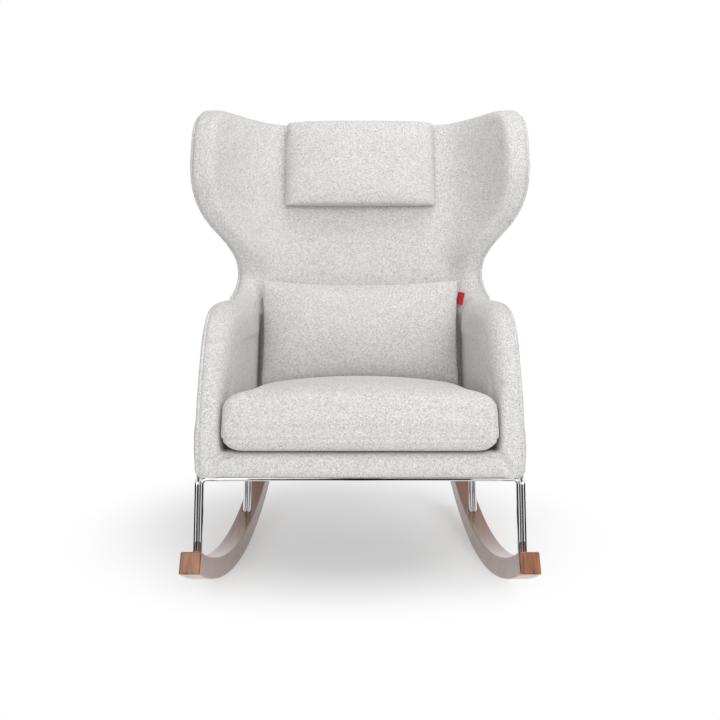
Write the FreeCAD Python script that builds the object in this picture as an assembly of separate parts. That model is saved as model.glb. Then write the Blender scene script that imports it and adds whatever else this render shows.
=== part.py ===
import FreeCAD, Part
import math
import os

# Upholstered rocking chair on bent rod legs and wooden rockers.
# Millimetres, Z up, the front faces -Y, left and right are as seen from the front.
# Body, seat and legs are drawn level and then leaned back as one by REST_LEAN.

# Rest attitude
REST_LEAN = 6.5
LEAN_Y = -345.0
LEAN_Z = 288.0
TOE_IN = 5.77
TOE_PIVOT_X = 352.0
TOE_PIVOT_Y = -350.0
FAR = 2000.0

# Rockers, drawn in the world frame
ROCKER_RADIUS = 952.0
ROCKER_DEPTH = 47.6
ROCKER_WIDTH = 44.0
ROCKER_LOW_Y = -1.0
ROCKER_FRONT_REACH = -441.5
ROCKER_REAR_REACH = 441.5
ROCKER_EDGE = 3.0

# Leg frames
ROD = 10.0
ROD_PITCH = 10.4
ROD_BEND = 13.0
ROD_TOP = 288.0
FRONT_LEG_Y = -343.0
REAR_LEG_Y = 201.0
FRONT_LEG_X = 344.5
REAR_LEG_X = 289.5
LEG_SPLAY = 5.0
FOOT_SINK = 4.0
FOOT_PLATE_LONG = 25.0
FOOT_PLATE_WIDE = 13.0
FOOT_PLATE_THICK = 5.0
FOOT_PLATE_ROUND = 0.98
FIT_GAP = 0.2
CUT_PAST = 1.0

# Fixings
SCREW = 6.0
SCREW_HEAD = 10.0
SCREW_HEAD_TALL = 6.0
SCREW_DEPTH = 22.0
SCREW_SHORT = 0.5
PLUG = 14.0
BOLT = 6.0
BOLT_HEAD = 10.0
BOLT_HEAD_TALL = 4.0
BOLT_HOLE = 6.4
PLATE_THICK = 4.0
PLATE_ROUND = 8.0
FRONT_PLATE = (262.0, 351.0, -349.0, -288.0)
REAR_PLATE = (208.0, 295.0, 142.0, 207.0)
FRONT_RAIL_BOLT = (276.0, -331.0)
REAR_RAIL_BOLT = (221.0, 189.0)
FRONT_SIDE_BOLT_Y = -305.0
REAR_SIDE_BOLT_Y = 160.0
BOLT_SHORT_OF_TOP = 12.0

# Seat frame
BODY_BOTTOM = 298.0
RAIL_THICK = 22.0
RAIL_TOP = 343.0
RAIL_GAP = 0.3
FRONT_RAIL_Y = -343.0
REAR_RAIL_Y = 183.0
WEBBING_THICK = 1.0
WEBBING_WIDE = 46.0
LONG_WEBS = 6
LONG_WEB_PITCH = 72.0
CROSS_WEBS = 5
CROSS_WEB_START = -300.0
CROSS_WEB_PITCH = 82.0
DECK_REAR = 80.0
DECK_TOP = 348.0
COVER_THICK = 1.0

# Arms
ARM_THICK = 54.0
ARM_TOP = 676.0
ARM_ROLL = 22.0
ARM_FRONT = ((-370.0, BODY_BOTTOM, 0.0), (-350.0, 420.0, 300.0), (-262.0, ARM_TOP, 100.0))
ARM_FRAME_INSET = 26.0
ARM_FRAME_THICK = 18.0
ARM_FOOT_FRONT = -300.0
ARM_FOOT_REAR = 170.0
ARM_BOLT_YS = (-270.0, -60.0, 140.0)
ARM_BOLT_REACH = 14.0

# Back
BACK_LEVEL = 490.0
BACK_FACE_AT_LEVEL = 75.0
BACK_SLOPE = 0.1427
BACK_FOAM = 28.0
BACK_TOP = 1121.0
BACK_CAP_BOTTOM = 1085.0
BACK_TOP_ROUND = 30.0
BACK_REAR_ROUND = 12.0
OUTER_BACK_AT_BOTTOM = 215.0
OUTER_BACK_SLOPE = 0.0243
PANEL_THICK = 6.0
PANEL_TOP = 1108.0
PANEL_HALF = 288.0
PANEL_SWELL = 12.0
PANEL_SWELL_FROM = 800.0
PANEL_SWELL_AT = 960.0
PANEL_ROUND = 26.0
ROOT_X = 240.5
POST_WIDE = 22.0
POST_DEEP = 34.0
BACK_WEBBING_THICK = 2.0
BACK_WEBBING_WIDE = 50.0
BACK_WEBBING_LEVELS = (430.0, 510.0, 650.0, 730.0, 810.0, 890.0, 970.0)
MIDDLE_RAIL_BOTTOM = 570.0
MIDDLE_RAIL_TALL = 45.0
TOP_RAIL_TALL = 40.0

# Wings: height, outer half width and front edge of each station
WING_STATIONS = (
    (676.5, 316.0, 92.0),
    (740.0, 314.5, 84.0),
    (790.0, 326.0, 62.0),
    (840.0, 363.0, 32.0),
    (900.0, 402.0, 0.0),
    (980.0, 417.0, -22.0),
    (1060.0, 415.0, -12.0),
    (1110.0, 409.0, 12.0),
    (1136.0, 390.0, 45.0),
)
WING_RIM = 54.0
WING_INNER_ROUND = 15.0
WING_OUTER_ROUND = 21.0
WING_HOLLOW_STATIONS = 8
WING_WALL = 16.0
WING_RIM_WALL = 22.0
WING_FRAME_THICK = 12.0
WING_FRAME_GAP = 0.8
WING_FRAME_SKEW = 6.0
WING_REAR_X = 292.0
WING_REAR_FOLLOW = 0.15
WING_ROOT_SINK = 18.0
WING_RIM_SKEW = 10.0

# Front rail pad
FRONT_PAD_Y = -370.0
FRONT_PAD_HALF = 296.8
FRONT_PAD_ROUND = 14.0
FRONT_PAD_LOW_ROUND = 6.0

# Seat cushion
SEAT_HALF = 294.5
SEAT_BOTTOM = 348.8
SEAT_SIDE_TOP = 457.0
SEAT_CROWN = 36.0
SEAT_END_CROWN = 0.3
SEAT_END_DRAW = 18.0
SEAT_DRAW_IN = 4.0
SEAT_ROUND = 30.0
SEAT_FRONT = -388.0
SEAT_REAR = 50.0
SEAT_SECTIONS = 11

# Lumbar cushion
LUMBAR_LEVEL = 597.0
LUMBAR_HALF = 240.0
LUMBAR_THICK = 112.0
LUMBAR_END_THICK = 10.0
LUMBAR_HALF_TALL = 119.5
LUMBAR_EAR = 9.0
LUMBAR_LOW_EAR = 3.0
LUMBAR_SECTIONS = 9
LUMBAR_EDGE = 6.0
LUMBAR_SWELL_POWER = 0.6
LUMBAR_GAP = 1.5
TAB_LOW = 63.0
TAB_TALL = 30.0
TAB_OUT = 12.0
TAB_THICK = 1.6

# Head pillow, its strap and its counterweight
PILLOW_LEVEL = 1012.0
PILLOW_HALF = 187.0
PILLOW_THICK = 50.0
PILLOW_END_THICK = 27.0
PILLOW_HALF_TALL = 108.0
PILLOW_DRAW_IN = 5.0
PILLOW_SECTIONS = 9
PILLOW_ROUND = 10.0
PILLOW_GAP = 1.0
STRAP_HALF = 176.0
STRAP_THICK = 8.0
STRAP_FRONT_END = 985.0
STRAP_REAR_END = 950.0
POUCH_BOTTOM = 850.0
POUCH_TALL = 115.0
POUCH_THICK = 14.0
POUCH_ROUND = 5.0
WEIGHT_LONG = 300.0
WEIGHT_TALL = 22.0
WEIGHT_THICK = 4.0
WEIGHT_LOWS = (22.0, 66.0)
WEIGHT_IN = 5.0
SLIDE_GAP = 0.6
COVER_WALL = 2.0
CORE_GAP = 0.5


def vec(x, y, z):
    return FreeCAD.Vector(x, y, z)


def back_face(level):
    """Depth of the inside back at a height above the floor, drawn level."""
    return BACK_FACE_AT_LEVEL + (level - BACK_LEVEL) * BACK_SLOPE


def outer_back(level):
    """Depth of the outside back at a height above the floor, drawn level."""
    return OUTER_BACK_AT_BOTTOM + (level - BODY_BOTTOM) * OUTER_BACK_SLOPE


def inner_arm(depth):
    """Half width between the arms at a depth."""
    reach = (depth - TOE_PIVOT_Y) * math.tan(math.radians(TOE_IN))
    return TOE_PIVOT_X - ARM_THICK / math.cos(math.radians(TOE_IN)) - reach


def lean(shape):
    """Tip a shape drawn level back to the rest attitude."""
    turned = shape.copy()
    turned.rotate(vec(0, LEAN_Y, LEAN_Z), vec(1, 0, 0), -REST_LEAN)
    return turned


def toe(shape):
    """Turn a right hand side piece drawn square to the toe-in of the side."""
    turned = shape.copy()
    turned.rotate(vec(TOE_PIVOT_X, TOE_PIVOT_Y, 0), vec(0, 0, 1), TOE_IN)
    return turned


def mirrored(shape):
    return shape.mirror(vec(0, 0, 0), vec(1, 0, 0))


def box(x0, x1, y0, y1, z0, z1):
    return Part.makeBox(x1 - x0, y1 - y0, z1 - z0, vec(x0, y0, z0))


def joined(shapes):
    """Group separate pieces as one node, or fuse touching ones."""
    first = shapes[0]
    return first.multiFuse(list(shapes[1:])) if len(shapes) > 1 else first


def bundle(shapes):
    """Keep loose repeats together without fusing them."""
    return Part.makeCompound(list(shapes))


def corner_cut(before, corner, after, radius):
    """Tangent points and middle of the arc that rounds one corner."""
    back = (before - corner).normalize()
    ahead = (after - corner).normalize()
    half = math.acos(max(-1.0, min(1.0, back.dot(ahead)))) / 2.0
    run = radius / math.tan(half)
    middle = (back + ahead).normalize()
    reach = radius / math.sin(half) - radius
    return corner + back * run, corner + middle * reach, corner + ahead * run


def outline(corners):
    """Closed wire of lines and tangent arcs through (point, radius) corners."""
    cuts = []
    count = len(corners)
    for index, (point, radius) in enumerate(corners):
        before = corners[index - 1][0]
        after = corners[(index + 1) % count][0]
        if radius > 0:
            cuts.append(corner_cut(before, point, after, radius))
        else:
            cuts.append((point, None, point))
    edges = []
    for index, (start, middle, end) in enumerate(cuts):
        if middle is not None:
            edges.append(Part.Arc(start, middle, end).toShape())
        following = cuts[(index + 1) % count][0]
        if (following - end).Length > 1e-6:
            edges.append(Part.LineSegment(end, following).toShape())
    return Part.Wire(edges)


def side_prism(corners, x0, x1):
    """Extrude a (depth, height, radius) side outline across the width."""
    placed = [(vec(x0, depth, height), radius) for depth, height, radius in corners]
    return Part.Face(outline(placed)).extrude(vec(x1 - x0, 0, 0))


def plan_prism(corners, z0, z1):
    """Extrude an (x, y, radius) plan outline upwards."""
    placed = [(vec(x, y, z0), radius) for x, y, radius in corners]
    return Part.Face(outline(placed)).extrude(vec(0, 0, z1 - z0))


def upright(x, y, z0, z1, across):
    return Part.makeCylinder(across / 2.0, z1 - z0, vec(x, y, z0), vec(0, 0, 1))


def bent_rod(points):
    """Sweep the rod along straight runs with tangent bends between them."""
    edges = []
    start = points[0]
    for index in range(1, len(points) - 1):
        first, middle, last = corner_cut(points[index - 1], points[index], points[index + 1], ROD_BEND)
        edges.append(Part.LineSegment(start, first).toShape())
        edges.append(Part.Arc(first, middle, last).toShape())
        start = last
    edges.append(Part.LineSegment(start, points[-1]).toShape())
    path = Part.Wire(edges)
    ring = Part.Circle(points[0], points[1] - points[0], ROD / 2.0).toShape()
    return path.makePipeShell([Part.Wire([ring])], True, False)


def rocker_top(depth):
    """Height, drawn level, where an upright at a depth meets the rocker's top face."""
    tip = math.radians(REST_LEAN)
    along = depth - LEAN_Y
    foot_y = LEAN_Y + along * math.cos(tip) - LEAN_Z * math.sin(tip) - ROCKER_LOW_Y
    foot_z = LEAN_Z - along * math.sin(tip) - LEAN_Z * math.cos(tip) - ROCKER_RADIUS
    reach = foot_y * math.sin(tip) + foot_z * math.cos(tip)
    radius = ROCKER_RADIUS - ROCKER_DEPTH
    return -reach - math.sqrt(reach ** 2 - foot_y ** 2 - foot_z ** 2 + radius ** 2)


def leg_places():
    """Right hand leg pairs: x at the top, x at the foot, depth and foot height."""
    places = []
    for x, depth in ((FRONT_LEG_X, FRONT_LEG_Y), (REAR_LEG_X, REAR_LEG_Y)):
        places.append((x, x + LEG_SPLAY, depth, rocker_top(depth) - FOOT_SINK))
    return places


def cross_frame(place):
    """Inverted U of one rod across the chair: the inner rod of each leg."""
    top, foot, depth, low = place
    inward = ROD_PITCH / 2.0
    end = low + FIT_GAP
    points = [
        vec(-(foot - inward), depth, end),
        vec(-(top - inward), depth, ROD_TOP),
        vec(top - inward, depth, ROD_TOP),
        vec(foot - inward, depth, end),
    ]
    return lean(bent_rod(points))


def side_frame():
    """Inverted U of one rod along the right side: the outer rod of each leg."""
    front, rear = leg_places()
    outward = ROD_PITCH / 2.0
    points = [
        vec(front[1] + outward, front[2], front[3] + FIT_GAP),
        vec(front[0] + outward, front[2], ROD_TOP),
        vec(rear[0] + outward, rear[2], ROD_TOP),
        vec(rear[1] + outward, rear[2], rear[3] + FIT_GAP),
    ]
    return lean(bent_rod(points))


def foot_outline(place, extra):
    """Oblong plan of a foot plate, grown by a fitting gap."""
    half_long = FOOT_PLATE_LONG / 2.0 + extra
    half_wide = FOOT_PLATE_WIDE / 2.0 + extra
    middle_x = place[1]
    middle_y = place[2]
    return [
        (middle_x - half_long, middle_y - half_wide, half_wide * FOOT_PLATE_ROUND),
        (middle_x + half_long, middle_y - half_wide, half_wide * FOOT_PLATE_ROUND),
        (middle_x + half_long, middle_y + half_wide, half_wide * FOOT_PLATE_ROUND),
        (middle_x - half_long, middle_y + half_wide, half_wide * FOOT_PLATE_ROUND),
    ]


def foot_plate(place):
    low = place[3] - FOOT_PLATE_THICK
    plate = plan_prism(foot_outline(place, 0.0), low, place[3])
    return lean(plate.cut(upright(place[1], place[2], low - CUT_PAST, place[3] + CUT_PAST, SCREW + FIT_GAP)))


def rocker_screw(place):
    """Cap screw from below, its shank through the plate and its head in the counterbore."""
    low = place[3] - FOOT_PLATE_THICK - SCREW_DEPTH
    shank = upright(place[1], place[2], low, place[3] - SCREW_SHORT, SCREW)
    head = upright(place[1], place[2], low - SCREW_HEAD_TALL, low, SCREW_HEAD)
    return lean(shank.fuse(head))


def rocker_cutters(place):
    """Recess for the plate, screw hole and counterbore of one leg."""
    recess = plan_prism(foot_outline(place, FIT_GAP), place[3] - FOOT_PLATE_THICK, place[3] + ROCKER_DEPTH)
    low = place[3] - FOOT_PLATE_THICK - SCREW_DEPTH
    hole = upright(place[1], place[2], low - CUT_PAST, place[3], SCREW + 2 * FIT_GAP)
    bore = upright(place[1], place[2], low - ROCKER_DEPTH, low, PLUG)
    return [lean(recess), lean(hole), lean(bore)]


def rocker_at(angle, radius):
    """Point on an arc about the rolling centre, at an angle from straight down."""
    return vec(0, ROCKER_LOW_Y + radius * math.sin(angle), ROCKER_RADIUS - radius * math.cos(angle))


def rocker_sector():
    """Curved bar between two arcs about the rolling centre, extruded across."""
    inner = ROCKER_RADIUS - ROCKER_DEPTH
    front = math.asin((ROCKER_FRONT_REACH - ROCKER_LOW_Y) / ROCKER_RADIUS)
    rear = math.asin((ROCKER_REAR_REACH - ROCKER_LOW_Y) / ROCKER_RADIUS)
    run = [rocker_at(angle, ROCKER_RADIUS) for angle in (front, 0.0, rear)]
    top = [rocker_at(angle, inner) for angle in (rear, 0.0, front)]
    edges = [
        Part.Arc(*run).toShape(),
        Part.LineSegment(run[2], top[0]).toShape(),
        Part.Arc(*top).toShape(),
        Part.LineSegment(top[2], run[0]).toShape(),
    ]
    return Part.Face(Part.Wire(edges)).extrude(vec(FAR, 0, 0))


def rocker_blank():
    """Right hand rocker: the sector trimmed to a toed-in slab, edges eased."""
    leg = leg_places()[0]
    foot = lean(Part.Vertex(vec(leg[1], leg[2], leg[3]))).Point
    slab = box(-ROCKER_WIDTH / 2.0, ROCKER_WIDTH / 2.0, -FAR, FAR, -FAR, FAR)
    slab.rotate(vec(0, 0, 0), vec(0, 0, 1), TOE_IN)
    slab.translate(vec(foot.x, foot.y, 0))
    bar = rocker_sector().common(slab)
    return bar.makeFillet(ROCKER_EDGE, bar.Edges)


def rocker_pieces():
    """Right hand rocker with its leg recesses, and its two plugs."""
    blank = rocker_blank()
    rocker = blank
    plugs = []
    for place in leg_places():
        rocker = rocker.cut(joined(rocker_cutters(place)))
        low = place[3] - FOOT_PLATE_THICK - SCREW_DEPTH - SCREW_HEAD_TALL - SCREW_SHORT
        stock = lean(upright(place[1], place[2], low - ROCKER_DEPTH, low, PLUG - FIT_GAP))
        plugs.append(stock.common(blank))
    return rocker, plugs


def plate_places():
    """Right hand mounting plates: corner box, then bolt spots on the rails."""
    inward = RAIL_GAP + RAIL_THICK / 2.0
    front_side = (inner_arm(FRONT_SIDE_BOLT_Y) - inward, FRONT_SIDE_BOLT_Y)
    rear_side = (inner_arm(REAR_SIDE_BOLT_Y) - inward, REAR_SIDE_BOLT_Y)
    return (FRONT_PLATE, (FRONT_RAIL_BOLT, front_side)), (REAR_PLATE, (REAR_RAIL_BOLT, rear_side))


def bolt_spots():
    return [spot for _, spots in plate_places() for spot in spots]


def mounting_plate(place):
    x0, x1, y0, y1 = place[0]
    low = ROD_TOP + ROD / 2.0
    corners = [(x, y, PLATE_ROUND) for x, y in ((x0, y0), (x1, y0), (x1, y1), (x0, y1))]
    plate = plan_prism(corners, low, low + PLATE_THICK)
    for x, y in place[1]:
        plate = plate.cut(upright(x, y, low - CUT_PAST, low + PLATE_THICK + CUT_PAST, BOLT_HOLE))
    return lean(plate)


def frame_bolt(spot):
    """Hexagon bolt up through a mounting plate into a rail."""
    low = ROD_TOP + ROD / 2.0
    radius = BOLT_HEAD / math.sqrt(3.0)
    ring = [math.radians(60 * step) for step in range(6)]
    corners = [(spot[0] + radius * math.cos(a), spot[1] + radius * math.sin(a), 0.0) for a in ring]
    head = plan_prism(corners, low - BOLT_HEAD_TALL, low)
    return lean(head.fuse(upright(spot[0], spot[1], low, RAIL_TOP - BOLT_SHORT_OF_TOP, BOLT)))


def bolt_drill():
    """Holes for the right hand frame bolts."""
    low = ROD_TOP + ROD / 2.0
    high = RAIL_TOP - BOLT_SHORT_OF_TOP + CUT_PAST
    return joined([upright(x, y, low, high, BOLT_HOLE) for x, y in bolt_spots()])


def both_sides(shape):
    return shape.fuse(mirrored(shape))


def front_rail():
    half = inner_arm(FRONT_RAIL_Y + RAIL_THICK) - RAIL_GAP
    rail = box(-half, half, FRONT_RAIL_Y, FRONT_RAIL_Y + RAIL_THICK, BODY_BOTTOM, RAIL_TOP)
    return lean(rail.cut(both_sides(bolt_drill())))


def rear_rail():
    half = inner_arm(REAR_RAIL_Y + RAIL_THICK) - RAIL_GAP
    rail = box(-half, half, REAR_RAIL_Y, REAR_RAIL_Y + RAIL_THICK, BODY_BOTTOM, RAIL_TOP)
    return lean(rail.cut(both_sides(bolt_drill())))


def arm_bolt_stock(across, x0, x1):
    """Three cylinders across the right side, drawn square."""
    level = (BODY_BOTTOM + RAIL_TOP) / 2.0
    return [Part.makeCylinder(across / 2.0, x1 - x0, vec(x0, y, level), vec(1, 0, 0)) for y in ARM_BOLT_YS]


def side_rail():
    """Right hand seat rail along the arm, trimmed between the front and rear rails."""
    outer = TOE_PIVOT_X - ARM_THICK - RAIL_GAP
    stock = toe(box(outer - RAIL_THICK, outer, -FAR, FAR, BODY_BOTTOM, RAIL_TOP))
    rail = stock.common(box(0, FAR, FRONT_RAIL_Y + RAIL_THICK, REAR_RAIL_Y, 0, FAR))
    drill = toe(joined(arm_bolt_stock(BOLT_HOLE, outer - 2 * RAIL_THICK, outer + RAIL_THICK)))
    return lean(rail.cut(drill).cut(bolt_drill()))


def arm_bolts():
    """Right hand arm bolts from inside the seat frame into the arm frame."""
    outer = TOE_PIVOT_X - ARM_THICK
    inside = outer - RAIL_GAP - RAIL_THICK
    shanks = arm_bolt_stock(BOLT, inside, outer + ARM_BOLT_REACH)
    heads = arm_bolt_stock(BOLT_HEAD, inside - BOLT_HEAD_TALL, inside)
    return [lean(toe(shank.fuse(head))) for shank, head in zip(shanks, heads)]


def arm_outline(inset):
    """Side outline of an arm, drawn in by an inset all round except the bottom."""
    lower, knee, brow = ARM_FRONT
    rear_low = outer_back(BODY_BOTTOM) - PANEL_THICK - inset
    rear_high = outer_back(ARM_TOP) - PANEL_THICK - inset
    return [
        (lower[0] + inset, lower[1], 0.0),
        (knee[0] + inset, knee[1], knee[2]),
        (brow[0] + inset, brow[1] - inset, brow[2] - inset),
        (rear_high, ARM_TOP - inset, 0.0),
        (rear_low, BODY_BOTTOM, 0.0),
    ]


def arm_frame_square():
    """Ply arm panel with its foot against the seat rail, drawn square."""
    inner = TOE_PIVOT_X - ARM_THICK
    middle = inner + ARM_THICK / 2.0
    half = ARM_FRAME_THICK / 2.0
    panel = side_prism(arm_outline(ARM_FRAME_INSET), middle - half, middle + half)
    foot = box(inner, middle, ARM_FOOT_FRONT, ARM_FOOT_REAR, BODY_BOTTOM, RAIL_TOP)
    return panel.fuse(foot).removeSplitter()


def arm_frame():
    inner = TOE_PIVOT_X - ARM_THICK
    drill = joined(arm_bolt_stock(BOLT_HOLE, inner - CUT_PAST, inner + ARM_BOLT_REACH + CUT_PAST))
    return lean(toe(arm_frame_square().cut(drill)))


def rolled_edges(shape, planes):
    """Front and top edges of an arm that lie in its two side planes."""
    picked = []
    for edge in shape.Edges:
        ends = [vertex.Point for vertex in edge.Vertexes]
        for plane in planes:
            in_plane = all(abs(point.x - plane) < 1e-6 for point in ends)
            above = all(point.z > BODY_BOTTOM - 1e-6 for point in ends)
            low = all(point.z < BODY_BOTTOM + 1e-6 for point in ends)
            rear = all(point.y > ARM_FOOT_REAR for point in ends)
            if in_plane and above and not low and not rear:
                picked.append(edge)
    return picked


def arm_pad():
    """Right hand arm: a thick slab with rolled front and top, hollow for its frame."""
    inner = TOE_PIVOT_X - ARM_THICK
    slab = side_prism(arm_outline(0.0), inner, TOE_PIVOT_X)
    rolled = slab.makeFillet(ARM_ROLL, rolled_edges(slab, (inner, TOE_PIVOT_X)))
    return lean(toe(rolled.cut(arm_frame_square())))


def wing_rear_x(outer):
    """Half width at the rear edge of the wing, which follows the rim a little."""
    return WING_REAR_X + WING_REAR_FOLLOW * (outer - WING_STATIONS[0][1])


def wing_wire(station):
    """Plan section of the right hand wing at one height."""
    level, outer, front = station
    behind = outer_back(level) - PANEL_THICK
    corners = [
        (vec(ROOT_X, back_face(level) + WING_ROOT_SINK, level), 0.0),
        (vec(outer - WING_RIM, front, level), WING_INNER_ROUND),
        (vec(outer, front + WING_RIM_SKEW, level), WING_OUTER_ROUND),
        (vec(wing_rear_x(outer), behind, level), WING_OUTER_ROUND / 2.0),
        (vec(ROOT_X, behind, level), 0.0),
    ]
    return outline(corners)


def hollow_wire(station):
    """Plan section of the space inside the wing, open towards the back."""
    level, outer, front = station
    behind = outer_back(level) - PANEL_THICK
    corners = [
        (vec(ROOT_X, back_face(level) + WING_ROOT_SINK + WING_WALL, level), 0.0),
        (vec(outer - WING_RIM + WING_WALL, front + WING_RIM_WALL, level), 0.0),
        (vec(outer - WING_WALL, front + WING_RIM_SKEW + WING_RIM_WALL, level), 0.0),
        (vec(wing_rear_x(outer) - WING_WALL, behind - WING_WALL, level), 0.0),
        (vec(ROOT_X, behind - WING_WALL, level), 0.0),
    ]
    return outline(corners)


def wing_frame_wire(station):
    """Plan section of the bent ply panel that lines the front of that space."""
    level, outer, front = station
    root = back_face(level) + WING_ROOT_SINK + WING_WALL + WING_FRAME_GAP
    tip_x = outer - WING_RIM + WING_WALL
    tip_y = front + WING_RIM_WALL + WING_FRAME_GAP
    corners = [
        (vec(ROOT_X, root, level), 0.0),
        (vec(tip_x, tip_y, level), 0.0),
        (vec(tip_x + WING_FRAME_THICK, tip_y + WING_FRAME_SKEW, level), 0.0),
        (vec(ROOT_X, root + WING_FRAME_THICK, level), 0.0),
    ]
    return outline(corners)


def wing_loft(section, stations_used):
    return Part.makeLoft([section(station) for station in stations_used], True, False)


def wing_pad():
    """Padded wing around a hollow that its frame stands in."""
    hollow = wing_loft(hollow_wire, WING_STATIONS[:WING_HOLLOW_STATIONS])
    return lean(wing_loft(wing_wire, WING_STATIONS).cut(hollow))


def wing_frame():
    return lean(wing_loft(wing_frame_wire, WING_STATIONS[:WING_HOLLOW_STATIONS]))


def arm_room():
    """Space of both arms and everything outside them up to the arm top."""
    inner = TOE_PIVOT_X - ARM_THICK
    right = toe(box(inner, FAR, -FAR, FAR, 0, ARM_TOP + RAIL_GAP))
    return both_sides(right)


def back_pad():
    """Inside back foam with a cap over the top rail, fitted between arms and wings."""
    rear_top = outer_back(BACK_TOP) - PANEL_THICK - RAIL_GAP
    rear_low = outer_back(BACK_CAP_BOTTOM) - PANEL_THICK - RAIL_GAP
    corners = [
        (back_face(DECK_TOP), DECK_TOP, 0.0),
        (back_face(BACK_TOP), BACK_TOP, BACK_TOP_ROUND),
        (rear_top, BACK_TOP, BACK_REAR_ROUND),
        (rear_low, BACK_CAP_BOTTOM, 0.0),
        (back_face(BACK_CAP_BOTTOM) + BACK_FOAM, BACK_CAP_BOTTOM, 0.0),
        (back_face(DECK_TOP) + BACK_FOAM, DECK_TOP, 0.0),
    ]
    slab = side_prism(corners, -TOE_PIVOT_X, TOE_PIVOT_X)
    wings = both_sides(box(ROOT_X, FAR, -FAR, FAR, ARM_TOP, FAR))
    return lean(slab.cut(arm_room()).cut(wings))


def back_post():
    """Right hand post behind the inside back, from the rear rail to the cap."""
    near = BACK_FOAM + BACK_WEBBING_THICK
    far = near + POST_DEEP
    corners = [
        (back_face(RAIL_TOP) + near, RAIL_TOP, 0.0),
        (back_face(BACK_CAP_BOTTOM) + near, BACK_CAP_BOTTOM, 0.0),
        (back_face(BACK_CAP_BOTTOM) + far, BACK_CAP_BOTTOM, 0.0),
        (back_face(RAIL_TOP) + far, RAIL_TOP, 0.0),
    ]
    return lean(side_prism(corners, ROOT_X - POST_WIDE, ROOT_X))


def back_band(low, high, near, far):
    """Strip across the back between two heights and two depths behind its face."""
    half = ROOT_X - POST_WIDE
    corners = [
        (back_face(low) + near, low, 0.0),
        (back_face(high) + near, high, 0.0),
        (back_face(high) + far, high, 0.0),
        (back_face(low) + far, low, 0.0),
    ]
    return half, corners


def middle_rail():
    near = BACK_FOAM + BACK_WEBBING_THICK
    high = MIDDLE_RAIL_BOTTOM + MIDDLE_RAIL_TALL
    half, corners = back_band(MIDDLE_RAIL_BOTTOM, high, near, near + RAIL_THICK)
    return lean(side_prism(corners, -half, half))


def top_rail():
    near = BACK_FOAM + BACK_WEBBING_THICK
    half, corners = back_band(BACK_CAP_BOTTOM - TOP_RAIL_TALL, BACK_CAP_BOTTOM, near, near + RAIL_THICK)
    return lean(side_prism(corners, -half, half))


def back_webbing():
    strips = []
    half = ROOT_X - BACK_WEBBING_THICK
    for level in BACK_WEBBING_LEVELS:
        _, corners = back_band(level, level + BACK_WEBBING_WIDE, BACK_FOAM, BACK_FOAM + BACK_WEBBING_THICK)
        strips.append(lean(side_prism(corners, -half, half)))
    return bundle(strips)


def outside_panel():
    """Outside back board over the ends of the arms and wings."""
    right = [
        (PANEL_HALF, BODY_BOTTOM, 0.0),
        (PANEL_HALF, PANEL_SWELL_FROM, 0.0),
        (PANEL_HALF + PANEL_SWELL, PANEL_SWELL_AT, 0.0),
        (PANEL_HALF + PANEL_SWELL, PANEL_TOP, PANEL_ROUND),
    ]
    left = [(-x, z, radius) for x, z, radius in reversed(right)]
    placed = [(vec(x, OUTER_BACK_AT_BOTTOM, z), radius) for x, z, radius in right + left]
    board = Part.Face(outline(placed)).extrude(vec(0, RAIL_GAP - PANEL_THICK, 0))
    tilt = -math.degrees(math.atan(OUTER_BACK_SLOPE))
    board.rotate(vec(0, OUTER_BACK_AT_BOTTOM, BODY_BOTTOM), vec(1, 0, 0), tilt)
    return lean(board)


def front_pad():
    corners = [
        (FRONT_PAD_Y, BODY_BOTTOM, FRONT_PAD_LOW_ROUND),
        (FRONT_RAIL_Y, BODY_BOTTOM, 0.0),
        (FRONT_RAIL_Y, DECK_TOP, 0.0),
        (FRONT_PAD_Y, DECK_TOP, FRONT_PAD_ROUND),
    ]
    return lean(side_prism(corners, -FRONT_PAD_HALF, FRONT_PAD_HALF))


def tapered_sheet(y0, y1, slack, z0, z1):
    """Flat sheet fitted between the arms."""
    wide = inner_arm(y0) - slack
    narrow = inner_arm(y1) - slack
    return plan_prism([(-wide, y0, 0), (wide, y0, 0), (narrow, y1, 0), (-narrow, y1, 0)], z0, z1)


def seat_webbing_long():
    """Webs from the front rail to the rear rail."""
    half = WEBBING_WIDE / 2.0
    rear = REAR_RAIL_Y + RAIL_THICK
    middles = [(step - (LONG_WEBS - 1) / 2.0) * LONG_WEB_PITCH for step in range(LONG_WEBS)]
    webs = [box(x - half, x + half, FRONT_RAIL_Y, rear, RAIL_TOP, RAIL_TOP + WEBBING_THICK) for x in middles]
    return bundle([lean(web) for web in webs])


def seat_webbing_cross():
    """Webs from side rail to side rail over the long ones."""
    low = RAIL_TOP + WEBBING_THICK
    webs = []
    for step in range(CROSS_WEBS):
        near = CROSS_WEB_START + step * CROSS_WEB_PITCH
        far = near + WEBBING_WIDE
        half = inner_arm(far) - RAIL_GAP
        webs.append(lean(box(-half, half, near, far, low, low + WEBBING_THICK)))
    return bundle(webs)


def seat_deck():
    low = RAIL_TOP + 2 * WEBBING_THICK
    return lean(tapered_sheet(FRONT_RAIL_Y, DECK_REAR, RAIL_GAP, low, DECK_TOP))


def dust_cover():
    rear = REAR_RAIL_Y + RAIL_THICK
    sheet = tapered_sheet(FRONT_RAIL_Y, rear, COVER_THICK, BODY_BOTTOM - COVER_THICK, BODY_BOTTOM)
    return lean(sheet.cut(both_sides(bolt_drill())))


def stations(count):
    """Places from -1 to 1 that crowd towards both ends, so that ends loft round."""
    steps = [2.0 * index / (count - 1) - 1.0 for index in range(count)]
    return [math.sin(math.pi / 2.0 * step) for step in steps]


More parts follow.
